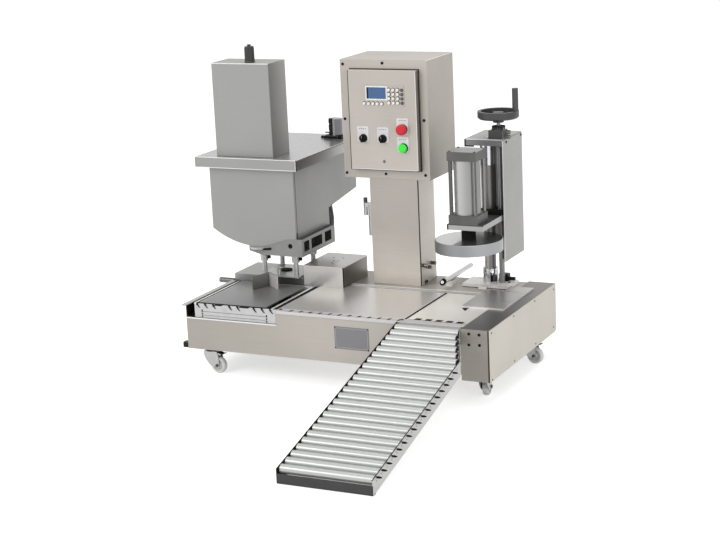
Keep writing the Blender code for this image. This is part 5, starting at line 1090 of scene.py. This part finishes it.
# Roller slide
slide = {
    "left": 1.105,
    "right": 1.5276,
    "slope": 0.24,
    "topAtTable": 0.222,
    "railHeight": 0.062,
    "sheet": 0.004,
    "flange": 0.016,
    "gap": 0.003,
    "reach": 1.179,
    "endDrop": 0.0205,
    "cornerX": 1.423,
    "blockFront": 0.04,
    "bendX": 1.5236,
    "bendY": 0.283,
    "pitch": 0.05,
    "firstRoller": 0.025,
    "rollers": 24,
    "fixedRollers": 10,
    "rollerRadius": 0.0205,
    "sink": 0.018,
    "endPlay": 0.003,
    "edgeStrip": ((-0.0022, -0.001), (0.0012, -0.001), (0.0012, 0.001), (-0.0022, 0.001)),
    "clip": ((0, -0.003), (0.0036, -0.003), (0.0046, 0.006), (0.0046, 0.013), (0.0026, 0.021),
             (0.0012, 0.024), (0, 0.024)),
    "firstClip": 7,
    "pad": ((0.0042, -0.0006), (0.0125, -0.0006), (0.0105, 0.0026), (0.0042, 0.0026)),
}
slideAngle = math.atan(slide["slope"])


def railTop(y):
    return slide["topAtTable"] + slide["slope"] * y


def innerFace(y):
    # inside of the right rail, which runs slanted beside the end block
    share = (-y - slide["blockFront"]) / (slide["bendY"] - slide["blockFront"])
    return slide["cornerX"] + min(1, max(0, share)) * (slide["bendX"] - slide["cornerX"])


def rollerSeat(step):
    y = -slide["gap"] - (slide["firstRoller"] + slide["pitch"] * step) * math.cos(slideAngle)
    z = railTop(y) - slide["sink"] / math.cos(slideAngle)
    reach = min(innerFace(y + slide["rollerRadius"]), innerFace(y - slide["rollerRadius"])) - slide["endPlay"]
    return y, z, reach


def railShape(plan, section, edge=0.0006):
    rows = [[(x + across, y, railTop(y) + level) for across, level in section] for x, y in plan]
    return loftShape(rows, edge)


def makeSlide():
    t, h, flange = slide["sheet"], slide["railHeight"], slide["flange"]
    left, corner = slide["left"], slide["cornerX"]
    near, far = -slide["gap"], -slide["reach"]
    leftSection = ((0, 0), (t, 0), (t, -h + t), (flange + t, -h + t), (flange + t, -h), (0, -h))
    rightSection = ((0, 0), (t, 0), (t, -h), (-flange, -h), (-flange, -h + t), (0, -h + t))
    rightPlan = ((corner, near), (corner, -slide["blockFront"]), (slide["bendX"], -slide["bendY"]),
                 (slide["bendX"], far))
    low, high = railTop(far) - h, railTop(far) - slide["endDrop"]
    endOutline = ((far, low), (far + 0.024, low), (far + 0.024, low + t), (far + t, low + t), (far + t, high),
                  (far, high))
    parts = [(railShape(((left, near), (left, far)), leftSection), "rubber"),
             (railShape(rightPlan, rightSection), "rightRail"),
             (plateShape(endOutline, "X", left + 0.0005, slide["right"] - 0.0005, 0.0005), "charcoal"),
             (boxShape((left + 0.002, near - t, 0.162), (corner + 0.002, near, 0.188), 0.0005), "charcoal")]
    seats = [rollerSeat(step) for step in range(slide["rollers"])]
    clips = [(innerFace(y) + t, y, railTop(y) - 0.0035) for y, _, _ in seats[slide["firstClip"]:]]
    parts.append(repeated(turnedShape(slide["clip"], sides=16, edge=0.0006), clips, "rubber", right))
    # black strips on the right rail's top along its inner edge: a painted shade line between the rollers and
    # the rail
    parts += [(railShape(ends, slide["edgeStrip"], 0), "rubber") for ends in zip(rightPlan, rightPlan[1:])]
    # black pads on the left rail at each roller end: painted shadows of the bearings
    pads = [(left + t, y, z) for y, z, _ in seats]
    parts.append(repeated(turnedShape(slide["pad"], sides=20, edge=0.0004), pads, "black", right))
    parts += [(rodShape((left + 0.001, y, z), (innerFace(y) + t + 0.0016, y, z), 0.004, 12, 0.0003), "steel")
              for y, z, _ in seats]
    makePiece("slideRails", parts, "machine", ("slide_frame",))

    start = left + t + slide["endPlay"]
    for step, (y, z, reach) in enumerate(seats):
        roller = growMesh(rollerTree, [(start, y, z)], {
            "Length": reach - start, "Radius": slide["rollerRadius"], "Stub": 0.0035, "Direction": right,
            "Tube": finishes["tube"], "Bearing": finishes["darkPaint"], "Axle": finishes["steel"]})
        number = step - slide["fixedRollers"] + 1
        node = f"slide_roller_{number:02d}"
        body, replaced = (node, (node,)) if number > 0 else ("machine", ())
        makePiece(f"roller{step + 1:02d}", [(roller, None)], body, replaced)


makeSlide()
print("slide made")

# Casters: place, turn in degrees, and whether there is a brake pedal
caster = {
    "places": {"front_left": (0.098, 0.054, -6, True), "rear_left": (0.098, 0.765, 60, False),
               "front_right": (1.486, 0.088, 97, True), "rear_right": (1.486, 0.648, -8, True)},
    "axle": (0.038, -0.085),
    "fork": (0.0172, 0.0204),
    "wheelRadius": 0.04,
    "side": [(-0.034, -0.0175), (-0.0365, -0.03), (-0.033, -0.046), (-0.024, -0.062), (-0.008, -0.08),
             (0.01, -0.094), *arcPoints((0.038, -0.085), 0.0125, -125, 150, 6), (0.05, -0.066),
             (0.048, -0.048), (0.044, -0.032), (0.04, -0.0175)],
    "race": ((0, -0.0172), (0.03, -0.0172), (0.03, -0.015), (0.027, -0.0128), (0.027, -0.0108),
             (0.03, -0.009), (0.03, -0.0056), (0, -0.0056)),
    "pedal": ((0.034, -0.0235), (0.054, -0.03), (0.07, -0.029), (0.076, -0.024), (0.076, -0.0215),
              (0.069, -0.026), (0.054, -0.0268), (0.036, -0.0205)),
    "arm": ((0.03, -0.0205), (0.04, -0.0205), (0.062, -0.027), (0.06, -0.033), (0.04, -0.03),
            (0.03, -0.03)),
}


def evenProfile(half):
    # the same line again on the other side of the middle
    return tuple(half) + tuple((radius, -height) for radius, height in reversed(half))


def makeCaster(place):
    x, y, degrees, braked = caster["places"][place]
    inner, outer = caster["fork"]
    trail, axleZ = caster["axle"]
    crown = roundedOutline((-0.034, -outer), (0.04, outer), 0.006)
    nut = band(0, 0.008, 0, 0.0045)
    fork = [(plateShape(caster["side"], "Y", inner, outer, 0.0008, 2), "steel"),
            (plateShape(caster["side"], "Y", -outer, -inner, 0.0008, 2), "steel"),
            (plateShape(crown, "Z", -0.02, -0.0165, 0.0008, 2), "steel"),
            (turnedShape(caster["race"], edge=0.0006), "darkPaint"),
            (turnedShape(nut, (trail, -outer, axleZ), front, 6, 0.0004), "darkPaint"),
            (turnedShape(nut, (trail, outer, axleZ), back, 6, 0.0004), "darkPaint"),
            (rodShape((trail, -outer, axleZ), (trail, outer, axleZ), 0.005, 20, 0.0002), "steel")]
    if braked:
        fork += [(plateShape(caster["pedal"], "Y", -0.015, 0.015, 0.0008, 2), "black"),
                 (plateShape(caster["arm"], "Y", -0.0172, -0.014, 0.0005), "steel"),
                 (plateShape(caster["arm"], "Y", 0.014, 0.0172, 0.0005), "steel")]
    r = caster["wheelRadius"]
    tyre = evenProfile(((0.0275, -0.0135), (r - 0.005, -0.014), (r - 0.0012, -0.0105), (r, -0.005)))
    web = evenProfile(((0.0054, -0.0152), (0.013, -0.0152), (0.014, -0.0085), (0.02, -0.006),
                       (0.0285, -0.0075)))
    wheel = [(turnedShape(tyre, (trail, 0, axleZ), back, 56, 0.001), "nylon"),
             (turnedShape(web, (trail, 0, axleZ), back, 48, 0.0008), "white")]
    for shape, _ in fork + wheel:
        shape.transform(Matrix.Translation((x, y, 0)) @ Matrix.Rotation(math.radians(degrees), 4, "Z"))
    makePiece(f"casterFork.{place}", fork, f"fork_{place}", (f"caster_fork_{place}",))
    makePiece(f"casterWheel.{place}", wheel, f"wheel_{place}", (f"caster_wheel_{place}",))


for place in caster["places"]:
    makeCaster(place)
print("casters made")

# Camera, at the photograph's place
view = {
    "lens": 86.4447,
    "azimuth": math.radians(26.214863),
    "elevation": math.radians(13.862281),
    "roll": math.radians(-2.609704),
    "target": Vector((0.670235, 0.534, 0.300221)),
    "distance": 8.388322,
}


def placeCamera():
    lens = bpy.data.cameras.new("camera")
    lens.lens = view["lens"]
    lens.sensor_width = 36.0
    az, el, roll = view["azimuth"], view["elevation"], view["roll"]
    outwards = Vector((math.sin(az) * math.cos(el), -math.cos(az) * math.cos(el), math.sin(el)))
    sideways = Vector((math.cos(az), math.sin(az), 0))
    upwards = outwards.cross(sideways)
    tiltedRight = sideways * math.cos(roll) + upwards * math.sin(roll)
    tiltedUp = upwards * math.cos(roll) - sideways * math.sin(roll)
    camera = bpy.data.objects.new("camera", lens)
    turn = Matrix((tiltedRight, tiltedUp, outwards)).transposed().to_4x4()
    place = view["target"] + machineOrigin + outwards * view["distance"]
    camera.matrix_world = Matrix.Translation(place) @ turn
    bpy.context.scene.collection.objects.link(camera)
    bpy.context.scene.camera = camera


# Studio: each lamp has its place, size and power, and they all aim at the same point
studio = {
    "floorHalf": 40.0,
    "floorColour": (0.8, 0.8, 0.8),
    "floorGlow": 0.62,
    "worldLight": 0.62,
    "target": (0.0, 0.0, 0.5),
    "lamps": (("key", (-3.4, -5.2, 4.6), 3.2, 150.0), ("fill", (5.4, -3.4, 2.8), 3.0, 70.0),
              ("top", (0.4, 0.8, 5.4), 3.4, 70.0)),
}


def plainRays(tree):
    # 1 where the floor or the world is seen directly, in a reflection or through glass
    seen = tree.nodes.new("ShaderNodeLightPath").outputs
    direct = mathNode(tree, "MAXIMUM", seen["Is Camera Ray"], seen["Is Glossy Ray"])
    return mathNode(tree, "MAXIMUM", direct, seen["Is Transmission Ray"])


def makeFloor():
    half = studio["floorHalf"]
    mesh = bpy.data.meshes.new("floor")
    corners = [(-half, -half, 0), (half, -half, 0), (half, half, 0), (-half, half, 0)]
    mesh.from_pydata(corners, [], [(0, 1, 2, 3)])
    floor = bpy.data.objects.new("floor", mesh)
    bpy.context.scene.collection.objects.link(floor)
    paper = bpy.data.materials.new("studioPaper")
    paper.use_nodes = True
    tree = paper.node_tree
    tree.nodes.remove(tree.nodes["Principled BSDF"])
    matt = addNode(tree, "ShaderNodeBsdfDiffuse", {"Color": (*studio["floorColour"], 1)})["BSDF"]
    strength = mathNode(tree, "MULTIPLY", plainRays(tree), studio["floorGlow"])
    glow = addNode(tree, "ShaderNodeEmission", {"Strength": strength})["Emission"]
    both = addNode(tree, "ShaderNodeAddShader", {0: matt, 1: glow})["Shader"]
    tree.links.new(both, tree.nodes["Material Output"].inputs["Surface"])
    mesh.materials.append(paper)


def makeLight():
    scene = bpy.context.scene
    scene.view_settings.view_transform = "Standard"
    scene.world = bpy.data.worlds.new("studio")
    scene.world.use_nodes = True
    tree = scene.world.node_tree
    sky = tree.nodes["Background"].inputs
    sky["Color"].default_value = (1, 1, 1, 1)
    level = studio["worldLight"]
    tree.links.new(mathNode(tree, "ADD", mathNode(tree, "MULTIPLY", plainRays(tree), 1 - level), level),
                   sky["Strength"])
    for name, place, size, power in studio["lamps"]:
        lamp = bpy.data.lights.new(name, "AREA")
        lamp.size = size
        lamp.energy = power
        holder = bpy.data.objects.new(name, lamp)
        holder.location = place
        holder.rotation_euler = (Vector(place) - Vector(studio["target"])).to_track_quat("Z", "Y").to_euler()
        scene.collection.objects.link(holder)


placeCamera()
makeFloor()
makeLight()
print("studio ready")
